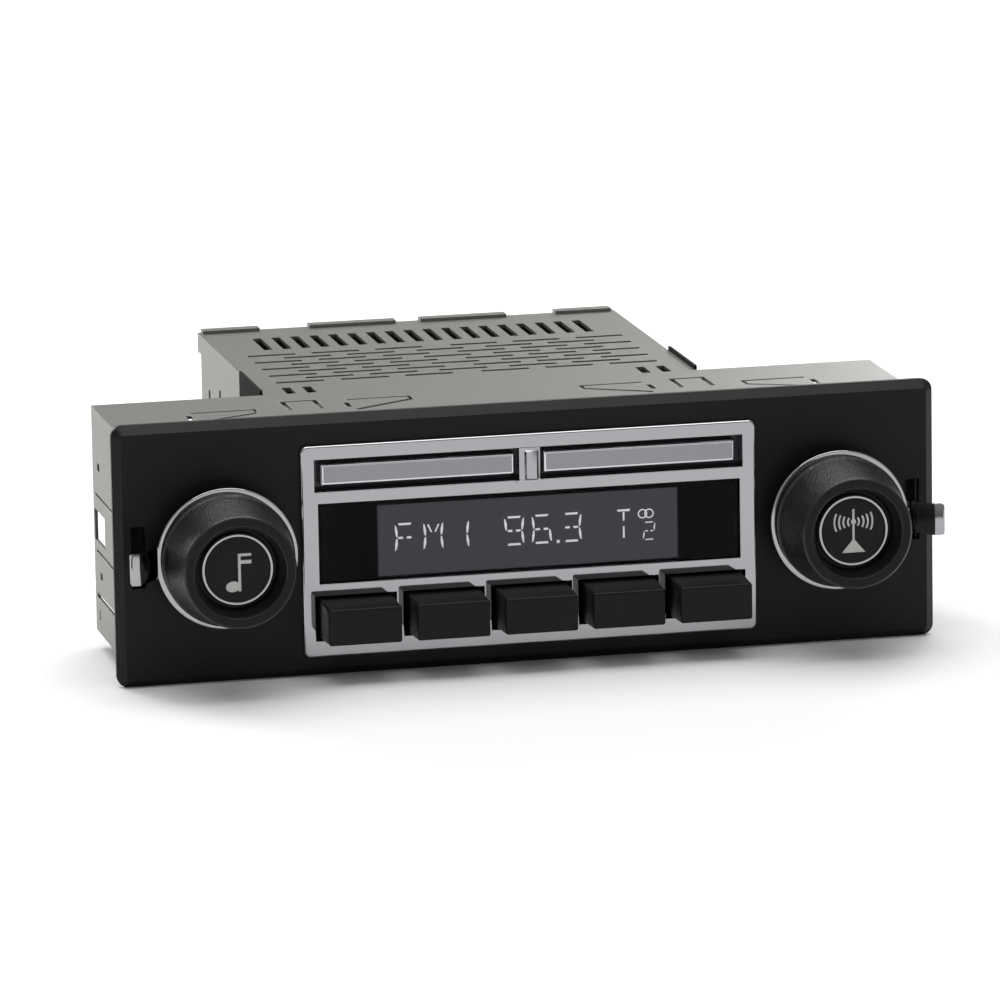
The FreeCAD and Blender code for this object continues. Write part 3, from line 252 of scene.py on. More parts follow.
def buildMottle():
    # slow patches of colour and gloss, as on plated sheet or moulded plastic
    group, given, result = shaderGroup(
        "mottle",
        [("Color", "NodeSocketColor", (0.5, 0.5, 0.5, 1)), ("Spread", "NodeSocketFloat", 0.1),
         ("Scale", "NodeSocketFloat", 60), ("Roughness", "NodeSocketFloat", 0.4),
         ("RoughSpread", "NodeSocketFloat", 0.08)],
        [("Color", "NodeSocketColor"), ("Roughness", "NodeSocketFloat")])
    tree = group.nodes
    link = group.links.new
    place = tree.new("ShaderNodeTexCoord")
    broad = tree.new("ShaderNodeTexNoise")
    broad.inputs["Detail"].default_value = 6
    broad.inputs["Roughness"].default_value = 0.65
    link(place.outputs["Object"], broad.inputs["Vector"])
    link(given.outputs["Scale"], broad.inputs["Scale"])
    centred = tree.new("ShaderNodeMath")
    centred.operation = "SUBTRACT"
    centred.inputs[1].default_value = 0.5
    link(broad.outputs["Fac"], centred.inputs[0])
    lift = tree.new("ShaderNodeMath")
    lift.operation = "MULTIPLY_ADD"
    lift.inputs[2].default_value = 1.0
    link(centred.outputs[0], lift.inputs[0])
    link(given.outputs["Spread"], lift.inputs[1])
    tint = tree.new("ShaderNodeVectorMath")
    tint.operation = "SCALE"
    link(given.outputs["Color"], tint.inputs[0])
    link(lift.outputs[0], tint.inputs["Scale"])
    link(tint.outputs[0], result.inputs["Color"])
    gloss = tree.new("ShaderNodeMath")
    gloss.operation = "MULTIPLY_ADD"
    link(centred.outputs[0], gloss.inputs[0])
    link(given.outputs["RoughSpread"], gloss.inputs[1])
    link(given.outputs["Roughness"], gloss.inputs[2])
    link(gloss.outputs[0], result.inputs["Roughness"])
    return group


def buildGrain():
    # fine bumps, drawn out along one axis if asked
    group, given, result = shaderGroup(
        "grain",
        [("Scale", "NodeSocketFloat", 2500), ("Stretch", "NodeSocketVector", (1, 1, 1)),
         ("Sharpness", "NodeSocketFloat", 0.5)],
        [("Height", "NodeSocketFloat")])
    tree = group.nodes
    link = group.links.new
    place = tree.new("ShaderNodeTexCoord")
    drawn = tree.new("ShaderNodeVectorMath")
    drawn.operation = "MULTIPLY"
    link(place.outputs["Object"], drawn.inputs[0])
    link(given.outputs["Stretch"], drawn.inputs[1])
    fine = tree.new("ShaderNodeTexNoise")
    fine.inputs["Detail"].default_value = 3
    link(drawn.outputs[0], fine.inputs["Vector"])
    link(given.outputs["Scale"], fine.inputs["Scale"])
    link(given.outputs["Sharpness"], fine.inputs["Roughness"])
    link(fine.outputs["Fac"], result.inputs["Height"])
    return group


mottleGroup = buildMottle()
grainGroup = buildGrain()


def makeMaterial(name, color, roughness, metallic=0.0, spread=0.15, patch=60, roughSpread=0.1,
                 grain=None, depth=0.05, strength=0.3, stretch=(1, 1, 1), specular=0.5, coat=0.0,
                 emission=0.0):
    material = bpy.data.materials.new(name)
    material.use_nodes = True
    tree = material.node_tree.nodes
    link = material.node_tree.links.new
    shader = tree["Principled BSDF"]
    shader.inputs["Metallic"].default_value = metallic
    shader.inputs["Specular IOR Level"].default_value = specular
    shader.inputs["Coat Weight"].default_value = coat
    shader.inputs["Coat Roughness"].default_value = 0.08
    mottle = tree.new("ShaderNodeGroup")
    mottle.node_tree = mottleGroup
    mottle.inputs["Color"].default_value = (*color, 1)
    mottle.inputs["Spread"].default_value = spread
    mottle.inputs["Scale"].default_value = patch
    mottle.inputs["Roughness"].default_value = roughness
    mottle.inputs["RoughSpread"].default_value = roughSpread
    link(mottle.outputs["Color"], shader.inputs["Base Color"])
    link(mottle.outputs["Roughness"], shader.inputs["Roughness"])
    if emission:
        link(mottle.outputs["Color"], shader.inputs["Emission Color"])
        shader.inputs["Emission Strength"].default_value = emission
    if grain:
        fine = tree.new("ShaderNodeGroup")
        fine.node_tree = grainGroup
        fine.inputs["Scale"].default_value = grain
        fine.inputs["Stretch"].default_value = stretch
        bump = tree.new("ShaderNodeBump")
        bump.inputs["Strength"].default_value = strength
        bump.inputs["Distance"].default_value = depth * mm
        link(fine.outputs["Height"], bump.inputs["Height"])
        link(bump.outputs["Normal"], shader.inputs["Normal"])
    return material


finishes = {
    "bezelPaint": dict(color=(0.003, 0.003, 0.0032), roughness=0.46, grain=2600, depth=0.08, strength=0.6,
                       specular=0.22),
    "zincSheet": dict(color=(0.21, 0.216, 0.195), roughness=0.42, metallic=0.85, spread=0.8, patch=1500,
                      roughSpread=0.3, grain=1500, depth=0.02, strength=0.25),
    "mirrorChrome": dict(color=(0.37, 0.37, 0.385), roughness=0.05, metallic=1.0, spread=0.03, patch=40,
                         roughSpread=0.03),
    # painted highlight: chrome about twice as bright as the mirror chrome, for rounded edges
    "paintedHighlightChrome": dict(color=(0.75, 0.75, 0.78), roughness=0.12, metallic=1.0, spread=0.03, patch=40),
    # painted shade: a near-black chrome for the floor of the recess behind the trim bars
    "recessPaintedShade": dict(color=(0.03, 0.03, 0.033), roughness=0.12, metallic=1.0, spread=0.05, patch=60),
    "satinBar": dict(color=(0.29, 0.29, 0.305), roughness=0.3, metallic=1.0, spread=0.05, patch=80,
                     roughSpread=0.06, grain=900, depth=0.01, strength=0.2, stretch=(1, 12, 12)),
    "lcdGlass": dict(color=(0.045, 0.045, 0.053), roughness=0.3, spread=0.05, patch=30, roughSpread=0.05,
                     specular=0.1, emission=0.95),
    "lcdInk": dict(color=(0.72, 0.73, 0.76), roughness=0.5, spread=0.03, patch=200, emission=0.42, specular=0.1),
    "maskBlack": dict(color=(0.0165, 0.0165, 0.0165), roughness=0.5, specular=0.2),
    "whitePlastic": dict(color=(0.7, 0.7, 0.67), roughness=0.45, grain=800, depth=0.02),
    "boardGreen": dict(color=(0.02, 0.11, 0.05), roughness=0.35, spread=0.5, patch=400, grain=600, depth=0.02),
    "buttonPlastic": dict(color=(0.004, 0.004, 0.0044), roughness=0.34, spread=0.1, roughSpread=0.08, grain=3200,
                          depth=0.012, strength=0.3, specular=0.18),
    "knobGrip": dict(color=(0.005, 0.005, 0.0055), roughness=0.33, spread=0.4, patch=500, roughSpread=0.2,
                     grain=1700, depth=0.25, strength=0.9, specular=0.55),
    "knobFace": dict(color=(0.0045, 0.0045, 0.005), roughness=0.42, grain=3000, depth=0.03, strength=0.4,
                     specular=0.2),
    "knobEdge": dict(color=(0.006, 0.006, 0.0065), roughness=0.3, specular=0.45),
    "glossBlack": dict(color=(0.005, 0.005, 0.005), roughness=0.12, roughSpread=0.04, specular=0.14),
    "iconInk": dict(color=(0.52, 0.52, 0.50), roughness=0.4, spread=0.05, specular=0.3),
    "plainSteel": dict(color=(0.5, 0.5, 0.49), roughness=0.3, metallic=1.0, spread=0.1, grain=1200,
                       depth=0.01),
    "blackSteel": dict(color=(0.006, 0.006, 0.006), roughness=0.75, spread=0.2, patch=200, specular=0.08, grain=1200,
                       depth=0.02),
    "tinnedSteel": dict(color=(0.52, 0.53, 0.54), roughness=0.38, metallic=1.0, spread=0.2, patch=150),
    "nickelPlate": dict(color=(0.6, 0.58, 0.54), roughness=0.18, metallic=1.0, spread=0.05),
    "brassTurned": dict(color=(0.62, 0.45, 0.2), roughness=0.3, metallic=1.0, spread=0.15, patch=300),
    "goldPlate": dict(color=(0.85, 0.6, 0.25), roughness=0.2, metallic=1.0, spread=0.06),
    "blackAnodised": dict(color=(0.02, 0.02, 0.021), roughness=0.45, metallic=0.5, spread=0.2, grain=900, depth=0.02),
    "canSleeve": dict(color=(0.02, 0.03, 0.08), roughness=0.25, spread=0.1),
    "copperWire": dict(color=(0.5, 0.2, 0.08), roughness=0.3, metallic=0.8, spread=0.3, patch=500, grain=900,
                       depth=0.1),
    "connectorBrown": dict(color=(0.05, 0.02, 0.012), roughness=0.5, grain=1500, depth=0.03),
    "fuseRed": dict(color=(0.55, 0.06, 0.02), roughness=0.2, spread=0.1, specular=0.6),
    "cableGrey": dict(color=(0.35, 0.35, 0.37), roughness=0.5, grain=900, depth=0.1, stretch=(1, 1, 4)),
}
finish = {name: makeMaterial(name, **values) for name, values in finishes.items()}

windowClear = bpy.data.materials.new("windowClear")
windowClear.use_nodes = True
clearShader = windowClear.node_tree.nodes["Principled BSDF"]
clearShader.inputs["Transmission Weight"].default_value = 1.0
clearShader.inputs["IOR"].default_value = 1.18
haze = windowClear.node_tree.nodes.new("ShaderNodeGroup")
haze.node_tree = mottleGroup
for word, value in (("Color", (0.93, 0.93, 0.94, 1)), ("Spread", 0.02), ("Scale", 90), ("Roughness", 0.02),
                    ("RoughSpread", 0.02)):
    haze.inputs[word].default_value = value
windowClear.node_tree.links.new(haze.outputs["Color"], clearShader.inputs["Base Color"])
windowClear.node_tree.links.new(haze.outputs["Roughness"], clearShader.inputs["Roughness"])
finish["windowClear"] = windowClear
print("finishes made:", len(finish))


# housing and front

nodeFinish = {
    "bezel": "bezelPaint", "lcd_panel": "lcdGlass", "lcd_frame": "maskBlack",
    "backlight": "whitePlastic", "front_board": "boardGreen", "button_guide": "whitePlastic",
    "tact_switches": "maskBlack", "main_board": "boardGreen", "board_standoffs": "plainSteel",
    "tuner_module": "tinnedSteel", "amplifier_chip": "glossBlack", "capacitors": "canSleeve",
    "choke_coil": "copperWire", "aerial_socket": "nickelPlate", "line_sockets": "goldPlate",
    "fuse": "fuseRed", "support_stud": "plainSteel", "stud_nut": "plainSteel",
    "shaft_bushings": "brassTurned", "shaft_nuts": "nickelPlate", "shaft_washers": "plainSteel",
    "rotary_controls": "tinnedSteel", "ribbon_cables": "cableGrey", "board_screws": "plainSteel",
    "bracket_screws": "plainSteel", "display_window": "windowClear", "wiring_connector": "connectorBrown",
    "side_springs": "blackSteel",
}
for side in ("left", "right"):
    nodeFinish[side + "_shaft"] = "plainSteel"
    nodeFinish[side + "_lever_tube"] = "brassTurned"
for nodeName, finishName in nodeFinish.items():
    mesh = cad[nodeName].data
    if mesh.materials:
        for index in range(len(mesh.materials)):
            mesh.materials[index] = finish[finishName]
    else:
        mesh.materials.append(finish[finishName])

# finish, edge width in mm and steps across the edge
edgeWidths = {
    "front_bracket": ("blackSteel", 0.12, 2), "din_sleeve": ("zincSheet", 0.12, 2),
    "chassis_tray": ("zincSheet", 0.12, 2), "top_cover": ("zincSheet", 0.12, 2),
    "rear_panel": ("zincSheet", 0.12, 2), "nosepiece": ("mirrorChrome", 0.35, 4),
    "left_trim_bar": ("satinBar", 0.22, 3), "right_trim_bar": ("satinBar", 0.22, 3),
    "trim_divider": ("mirrorChrome", 0.18, 3),
}
buttonEdge = {"width": 0.3, "steps": 3}
# where the recess floor is painted in shade: behind the bezel's face, and above the shafts' level, in mm
paintedShadeRecess = {"behind": 2.0, "low": 12, "high": 20.3}
flatFace = 0.99
dressed = {}
for nodeName, (finishName, width, segments) in edgeWidths.items():
    dressed[nodeName] = softened(nodeName, finish[finishName], width, segments)

# the floor of the recess behind the trim bars gets a near-black chrome: painted shade for the dark under and behind
# the bars
plate = dressed["nosepiece"].data
plate.materials.append(finish["recessPaintedShade"])
for face in plate.polygons:
    level = face.center.z - shaftLevel
    if face.center.y > bezelFace + paintedShadeRecess["behind"] * mm and paintedShadeRecess["low"] * mm < level < paintedShadeRecess["high"] * mm:
        face.material_index = 1
# the rounded rims of the trim bars get a glossier chrome painted much brighter than the metal: a painted highlight
for side in ("left", "right"):
    trim = dressed[side + "_trim_bar"].data
    trim.materials.append(finish["paintedHighlightChrome"])
    for face in trim.polygons:
        if max(abs(part) for part in face.normal) < flatFace:
            face.material_index = 1
for order in range(1, 6):
    softened(f"button_{order}", finish["buttonPlastic"], buttonEdge["width"], buttonEdge["steps"])
print("housing and front dressed")


# repeated pieces, each grown by a small node tree and kept as a plain mesh

def grow(name, build, values, material):
    group = bpy.data.node_groups.new(name, "GeometryNodeTree")
    sockets = {}
    for word, kind, value in values:
        sockets[word] = group.interface.new_socket(word, in_out="INPUT", socket_type=kind).identifier
    sockets["Material"] = group.interface.new_socket("Material", in_out="INPUT",
                                                     socket_type="NodeSocketMaterial").identifier
    group.interface.new_socket("Geometry", in_out="OUTPUT", socket_type="NodeSocketGeometry")
    given, result = group.nodes.new("NodeGroupInput"), group.nodes.new("NodeGroupOutput")
    made = build(group.nodes, group.links.new, given)
    whole = group.nodes.new("GeometryNodeRealizeInstances")
    painted = group.nodes.new("GeometryNodeSetMaterial")
    group.links.new(made, whole.inputs["Geometry"])
    group.links.new(whole.outputs["Geometry"], painted.inputs["Geometry"])
    group.links.new(given.outputs["Material"], painted.inputs["Material"])
    group.links.new(painted.outputs["Geometry"], result.inputs["Geometry"])
    holder = bpy.data.objects.new(name + "Holder", bpy.data.meshes.new(name + "Seed"))
    bpy.context.scene.collection.objects.link(holder)
    grower = holder.modifiers.new("grow", "NODES")
    grower.node_group = group
    for word, kind, value in values:
        grower[sockets[word]] = value
    grower[sockets["Material"]] = material
    bpy.context.view_layer.update()
    solved = holder.evaluated_get(bpy.context.evaluated_depsgraph_get())
    mesh = bpy.data.meshes.new_from_object(solved)
    bpy.data.objects.remove(holder)
    return mesh


def finTree(nodes, link, given):
    # a base plate with a row of upright fins behind it
    line = nodes.new("GeometryNodeMeshLine")
    line.mode = "END_POINTS"
    link(given.outputs["Count"], line.inputs["Count"])
    link(given.outputs["First"], line.inputs["Start Location"])
    link(given.outputs["Last"], line.inputs["Offset"])
    fin = nodes.new("GeometryNodeMeshCube")
    link(given.outputs["Fin"], fin.inputs["Size"])
    row = nodes.new("GeometryNodeInstanceOnPoints")
    link(line.outputs["Mesh"], row.inputs["Points"])
    link(fin.outputs["Mesh"], row.inputs["Instance"])
    base = nodes.new("GeometryNodeMeshCube")
    link(given.outputs["Base"], base.inputs["Size"])
    placed = nodes.new("GeometryNodeTransform")
    link(base.outputs["Mesh"], placed.inputs["Geometry"])
    link(given.outputs["BasePlace"], placed.inputs["Translation"])
    both = nodes.new("GeometryNodeJoinGeometry")
    link(row.outputs["Instances"], both.inputs["Geometry"])
    link(placed.outputs["Geometry"], both.inputs["Geometry"])
    return both.outputs["Geometry"]


def coilTree(nodes, link, given):
    # round wire wound about the Y axis
    wound = nodes.new("GeometryNodeCurveSpiral")
    wound.inputs["Resolution"].default_value = 24
    link(given.outputs["Turns"], wound.inputs["Rotations"])
    link(given.outputs["Radius"], wound.inputs["Start Radius"])
    link(given.outputs["Radius"], wound.inputs["End Radius"])
    link(given.outputs["Length"], wound.inputs["Height"])
    wire = nodes.new("GeometryNodeCurvePrimitiveCircle")
    wire.inputs["Resolution"].default_value = 10
    link(given.outputs["Wire"], wire.inputs["Radius"])
    solid = nodes.new("GeometryNodeCurveToMesh")
    solid.inputs["Fill Caps"].default_value = True
    link(wound.outputs["Curve"], solid.inputs["Curve"])
    link(wire.outputs["Curve"], solid.inputs["Profile Curve"])
    laid = nodes.new("GeometryNodeTransform")
    laid.inputs["Rotation"].default_value = (-math.pi / 2, 0, 0)
    link(solid.outputs["Mesh"], laid.inputs["Geometry"])
    placed = nodes.new("GeometryNodeTransform")
    link(laid.outputs["Geometry"], placed.inputs["Geometry"])
    link(given.outputs["Place"], placed.inputs["Translation"])
    return placed.outputs["Geometry"]


sinkShape = {"fins": 10, "finThick": 1.2, "base": 3.0, "edge": 0.2}


def makeHeatSink():
    low, high = (Vector(corner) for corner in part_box("heat_sink"))
    middle, size = (low + high) / 2, high - low
    thick, base = sinkShape["finThick"] * mm, sinkShape["base"] * mm
    finDepth = size.y - base
    finAlong = low.y + base + finDepth / 2 - 0.05 * mm
    values = [
        ("Count", "NodeSocketInt", sinkShape["fins"]),
        ("First", "NodeSocketVector", (low.x + thick / 2, finAlong, middle.z)),
        ("Last", "NodeSocketVector", (high.x - thick / 2, finAlong, middle.z)),
        ("Fin", "NodeSocketVector", (thick, finDepth + 0.1 * mm, size.z)),
        ("Base", "NodeSocketVector", (size.x, base, size.z)),
        ("BasePlace", "NodeSocketVector", (middle.x, low.y + base / 2, middle.z)),
    ]
    fins = grow("heatSinkFins", finTree, values, finish["blackAnodised"])
    mesh = bevelled(fins, sinkShape["edge"] * mm, 2, 40)
    addPiece("heat_sink_shape", mesh, finish["blackAnodised"], "radio", ("heat_sink",))


springShape = {"wire": 0.3, "turns": 2.6}


def makeButtonSpring(order):
    node = f"button_spring_{order}"
    low, high = (Vector(corner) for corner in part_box(node))
    middle, size = (low + high) / 2, high - low
    wire = springShape["wire"] * mm
    values = [
        ("Turns", "NodeSocketFloat", springShape["turns"]),
        ("Radius", "NodeSocketFloat", size.x / 2 - wire * 1.02),
        ("Length", "NodeSocketFloat", size.y - 2.1 * wire),
        ("Wire", "NodeSocketFloat", wire),
        ("Place", "NodeSocketVector", (middle.x, low.y + 1.05 * wire, middle.z)),
    ]
    mesh = grow(f"buttonCoil{order}", coilTree, values, finish["plainSteel"])
    softShade(mesh, 60)
    addPiece(node + "_shape", mesh, finish["plainSteel"], bodyOf(node), (node,))


def pinTree(nodes, link, given):
    # a grid of upright blades, each a small rounded bar that points to the rear
    grid = nodes.new("GeometryNodeMeshGrid")
    link(given.outputs["Width"], grid.inputs["Size X"])
    link(given.outputs["Height"], grid.inputs["Size Y"])
    link(given.outputs["Columns"], grid.inputs["Vertices X"])
    link(given.outputs["Rows"], grid.inputs["Vertices Y"])
    blade = nodes.new("GeometryNodeMeshCube")
    link(given.outputs["Blade"], blade.inputs["Size"])
    rows = nodes.new("GeometryNodeInstanceOnPoints")
    link(grid.outputs["Mesh"], rows.inputs["Points"])
    link(blade.outputs["Mesh"], rows.inputs["Instance"])
    laid = nodes.new("GeometryNodeTransform")
    laid.inputs["Rotation"].default_value = (math.pi / 2, 0, 0)
    link(rows.outputs["Instances"], laid.inputs["Geometry"])
    link(given.outputs["Place"], laid.inputs["Translation"])
    return laid.outputs["Geometry"]


connectorShape = {
    "columns": 4, "rows": 2, "pitch": 5.0, "rowPitch": 6.0, "blade": (2.4, 0.7), "floor": 12.0, "reach": 8.0,
    "edge": 0.15,
}


def makeConnectorPins():
    low, high = (Vector(corner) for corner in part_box("wiring_connector"))
    shape = connectorShape
    floor = high.y - shape["floor"] * mm
    reach = shape["reach"] * mm
    values = [
        ("Width", "NodeSocketFloat", (shape["columns"] - 1) * shape["pitch"] * mm),
        ("Height", "NodeSocketFloat", (shape["rows"] - 1) * shape["rowPitch"] * mm),
        ("Columns", "NodeSocketInt", shape["columns"]),
        ("Rows", "NodeSocketInt", shape["rows"]),
        ("Blade", "NodeSocketVector", (shape["blade"][0] * mm, shape["blade"][1] * mm, reach)),
        ("Place", "NodeSocketVector", ((low.x + high.x) / 2, floor + reach / 2, (low.z + high.z) / 2)),
    ]
    pins = grow("connectorPins", pinTree, values, finish["tinnedSteel"])
    mesh = bevelled(pins, shape["edge"] * mm, 2, 40)
    addPiece("connector_contacts", mesh, finish["tinnedSteel"], "radio")


makeHeatSink()
makeConnectorPins()
for order in range(1, 6):
    makeButtonSpring(order)
print("repeated pieces grown")


# knobs and levers

# every line is (radius, depth behind the bezel's face, fillet) in mm
knobShape = {
    "line": [(0, -16, 0), (3, -16, 0), (3, -8.8, 0), (6, -8.8, 0.2), (6, -14.4, 0.2), (11, -14.4, 0.4),
             (12.6, -7.4, 0.2), (14.5, -7.4, 0.2), (14.9, -7.9, 0.25), (14.9, -8.8, 0.2), (14.5, -9.1, 0.2),
             (12.66, -21.6, 0.15), (12.3, -22, 0.3), (10.35, -22, 0.3), (9.7, -20.6, 0.4), (9.0, -18.6, 0.3),
             (8.9, -17.2, 0.1), (0, -17.2, 0)],
    "gripFrom": 12.5, "gripFront": -21.5, "rimFrom": 12.1, "lip": (10.0, 10.5), "lipFront": -21,
}
capShape = [(0, -17.2, 0), (8.3, -17.2, 0.1), (8.3, -18.0, 0.2), (7.3, -18.0, 0), (7.3, -18.3, 0.1),
            (0, -18.36, 0)]
ringShape = [(7.35, -17.9, 0), (8.0, -17.9, 0), (8.0, -18.55, 0.2), (7.35, -18.55, 0.2)]
leverShape = {
    "disc": [(4.0, -1.0, 0), (7.6, -1.0, 0.3), (7.6, -5.95, 0.2), (15.92, -5.95, 0.3), (15.92, -6.75, 0.3),
             (4.0, -6.75, 0)],
    "path": [(15.5, -6.35), (15.85, -6.35), (20.75, -12.2), (22.8, -12.2)],
    "halfWidth": 3.55, "thick": 0.8, "tipRadius": 0.5, "bend": 0.35, "step": 0.25, "edge": 0.27,
    # armFrom and the tilt range pick the arm's edge faces that get the painted highlight
    "armFrom": 16, "highlightTilt": (0.2, 0.98),
}


def makeKnob(side):
    centre = (shaftPlaces[side], shaftLevel)
    line = [(p.x, p.y) for p in roundedLine(knobShape["line"])]
    mesh = spunMesh(side + "KnobMesh", line, centre, 224)
    softShade(mesh, 28)
    mesh.materials.append(finish["knobFace"])
    mesh.materials.append(finish["knobGrip"])
    mesh.materials.append(finish["knobEdge"])
    for face in mesh.polygons:
        radius = math.hypot(face.center.x - centre[0], face.center.z - centre[1]) / mm
        depth = (face.center.y - bezelFace) / mm
        if radius > knobShape["gripFrom"] and depth > knobShape["gripFront"]:
            face.material_index = 1
        elif radius > knobShape["rimFrom"]:
            face.material_index = 2
        elif depth < knobShape["lipFront"] and knobShape["lip"][0] < radius < knobShape["lip"][1]:
            face.material_index = 2
    body = knobBodies[side]
    addPiece(side + "_knob_shape", mesh, None, body, (side + "_knob",))
    mesh = spunMesh(side + "CapMesh", [(p.x, p.y) for p in roundedLine(capShape)], centre, 128)
    softShade(mesh, 28)
    addPiece(side + "_knob_cap_shape", mesh, finish["glossBlack"], body, (side + "_knob_cap",))
    mesh = spunMesh(side + "RingMesh", [(p.x, p.y) for p in roundedLine(ringShape)], centre, 160)
    softShade(mesh, 50)
    addPiece(side + "_knob_ring_shape", mesh, finish["mirrorChrome"], body, (side + "_knob_ring",))


def makeLever(side):
    centre = (shaftPlaces[side], shaftLevel)
    facing = -1 if side == "left" else 1
    disc = spunMesh(side + "DiscMesh", [(p.x, p.y) for p in roundedLine(leverShape["disc"])], centre, 192)
    path = [Vector(p) for p in leverShape["path"]]
    half, thick, tip = leverShape["halfWidth"], leverShape["thick"], leverShape["tipRadius"]
    # rounded bends: the path is smoothed, then sampled close together
    bends = [(p.x, p.y, 0 if i in (0, len(path) - 1) else leverShape["bend"]) for i, p in enumerate(path)]
    smooth = [Vector((p.x, p.y)) for p in roundedLine(bends, 5)]
    stations = []
    for a, b in zip(smooth, smooth[1:]):
        pieces = max(1, int((b - a).length / leverShape["step"]))
        stations += [a.lerp(b, k / pieces) for k in range(pieces)]
    stations.append(smooth[-1])
    lengths = [0.0]
    for a, b in zip(stations, stations[1:]):
        lengths.append(lengths[-1] + (b - a).length)
    verts, faces = [], []
    for i, point in enumerate(stations):
        ahead = stations[min(i + 1, len(stations) - 1)] - stations[max(i - 1, 0)]
        normal = Vector((-ahead.y, ahead.x)).normalized() * thick / 2
        left = lengths[-1] - lengths[i]
        width = half if left >= tip else half - tip + math.sqrt(max(0.0, tip ** 2 - (tip - left) ** 2))
        for edge, level in ((normal, width), (normal, -width), (-normal, -width), (-normal, width)):
            spot = point + edge
            verts.append((centre[0] + facing * spot.x * mm, bezelFace + spot.y * mm, centre[1] + level * mm))
    for i in range(len(stations) - 1):
        for k in range(4):
            a, b = 4 * i + k, 4 * i + (k + 1) % 4
            faces.append((a, b, b + 4, a + 4))
    faces.append((0, 1, 2, 3))
    last = 4 * (len(stations) - 1)
    faces.append((last + 3, last + 2, last + 1, last))
    arm = bevelled(meshFrom(side + "ArmMesh", verts, faces), leverShape["edge"] * mm, 3, 40)
    work = bmesh.new()
    work.from_mesh(disc)
    work.from_mesh(arm)
    joined = bpy.data.meshes.new(side + "LeverMesh")
    work.to_mesh(joined)
    work.free()
    softShade(joined, 30)
    addPiece(side + "_lever_shape", joined, finish["mirrorChrome"], leverBodies[side],
             (side + "_lever_ring",))
    # the arm's rounded edges get a chrome painted brighter than the rest of the lever: a painted highlight
    joined.materials.append(finish["paintedHighlightChrome"])
    flat, steep = leverShape["highlightTilt"]
    for face in joined.polygons:
        outward = abs(face.center.x - centre[0])
        if flat < abs(face.normal.z) < steep and outward > leverShape["armFrom"] * mm:
            face.material_index = 1


for side in ("left", "right"):
    makeKnob(side)
    makeLever(side)

# the marks on the caps, in mm from the shaft; each wave is (radius, half its sweep in degrees)
markShape = {
    "front": 18.42, "thick": 0.1,
    "waves": [(1.3, 44), (2.35, 33), (3.35, 29), (4.4, 27)], "waveLevel": 2.0, "waveWidth": 0.42,
}
noteMarks = [bar(0.4, -4.9, 0.4, 3.5, 0.6), bar(0.3, 3.25, 3.1, 3.25, 0.6), bar(0.3, 1.65, 3.1, 1.65, 0.8),
             oval(-1.1, -3.8, 1.6, 1.2, 8)]
mastMarks = [bar(0, -2.4, 0, 4.9, 0.5), oval(0, 2.0, 0.6, 0.6),
             [(-2.7, -5.0), (2.7, -5.0), (0.15, -2.0), (-0.15, -2.0)]]
for radius, reach in markShape["waves"]:
    for middle in (0, 180):
        mastMarks.append(arcBar(0, markShape["waveLevel"], radius, middle - reach, middle + reach,
                                markShape["waveWidth"]))
for side, marks in (("left", noteMarks), ("right", mastMarks)):
    mesh = prismMesh(side + "MarkMesh", marks, bezelFace - markShape["front"] * mm, markShape["thick"] * mm,
                     (shaftPlaces[side], shaftLevel))
    addPiece(side + "_knob_mark", mesh, finish["iconInk"], knobBodies[side])
print("knobs and levers made")


# display characters

cell = {"width": 4.55, "height": 6.7, "low": -2.8, "bar": 0.5}


def segment(which, x, z, scale=1.0, slim=1.0):
    # one segment of a character whose lower left corner is at x, z
    w, h, b = cell["width"], cell["height"], cell["bar"] * slim
    upper = [(0.0, h - 0.4), (0.34, h - 0.75), (0.64, h - 1.9), (0.58, h / 2 + 0.1), (0.28, h / 2 + 0.28),
             (0.04, h - 2.0)]
    flat = {
        "top": [(0.75, h), (w - 0.75, h), (w - 0.95, h - b), (0.95, h - b)],
        "bottom": [(0.95, b), (w - 0.95, b), (w - 0.75, 0), (0.75, 0)],
        "midLeft": [(0.7, h / 2), (0.9, h / 2 + b / 2), (1.85, h / 2 + b / 2),
                    (1.85, h / 2 - b / 2), (0.9, h / 2 - b / 2)],
        "midRight": [(w - 0.7, h / 2), (w - 0.9, h / 2 - b / 2), (w - 1.85, h / 2 - b / 2),
                     (w - 1.85, h / 2 + b / 2), (w - 0.9, h / 2 + b / 2)],
        "upLeft": upper,
        "upRight": [(w - across, up) for across, up in upper][::-1],
        "lowLeft": [(across, h - up) for across, up in upper][::-1],
        "lowRight": [(w - across, h - up) for across, up in upper],
        "midUp": [(w / 2 - 0.24, h - 0.7), (w / 2 + 0.24, h - 0.7),
                  (w / 2 + 0.18, h / 2 + 0.7), (w / 2 - 0.18, h / 2 + 0.7)],
        "midDown": [(w / 2 - 0.18, h / 2 - 0.5), (w / 2 + 0.18, h / 2 - 0.5),
                    (w / 2 + 0.24, 0.2), (w / 2 - 0.24, 0.2)],
        "slopeLeft": [(0.85, h - 0.7), (1.25, h - 0.7), (w / 2 - 0.25, h / 2 + 0.9), (w / 2 - 0.6, h / 2 + 0.9)],
        "slopeRight": [(w - 1.25, h - 0.7), (w - 0.85, h - 0.7),
                       (w / 2 + 0.6, h / 2 + 0.9), (w / 2 + 0.25, h / 2 + 0.9)],
    }
    return [(x + across * scale, z + up * scale) for across, up in flat[which]]


signs = {
    "F": ["top", "upLeft", "lowLeft", "midLeft", "midRight"],
    "M": ["upLeft", "lowLeft", "upRight", "lowRight", "slopeLeft", "slopeRight"],
    "1": ["upRight", "lowRight"],
    "9": ["top", "upLeft", "upRight", "midLeft", "midRight", "lowRight", "bottom"],
    "6": ["top", "upLeft", "lowLeft", "lowRight", "midLeft", "midRight", "bottom"],
    "3": ["top", "upRight", "lowRight", "midLeft", "midRight", "bottom"],
    "T": ["top", "midUp", "midDown"],
    "2": ["top", "upRight", "midLeft", "midRight", "lowLeft", "bottom"],
}
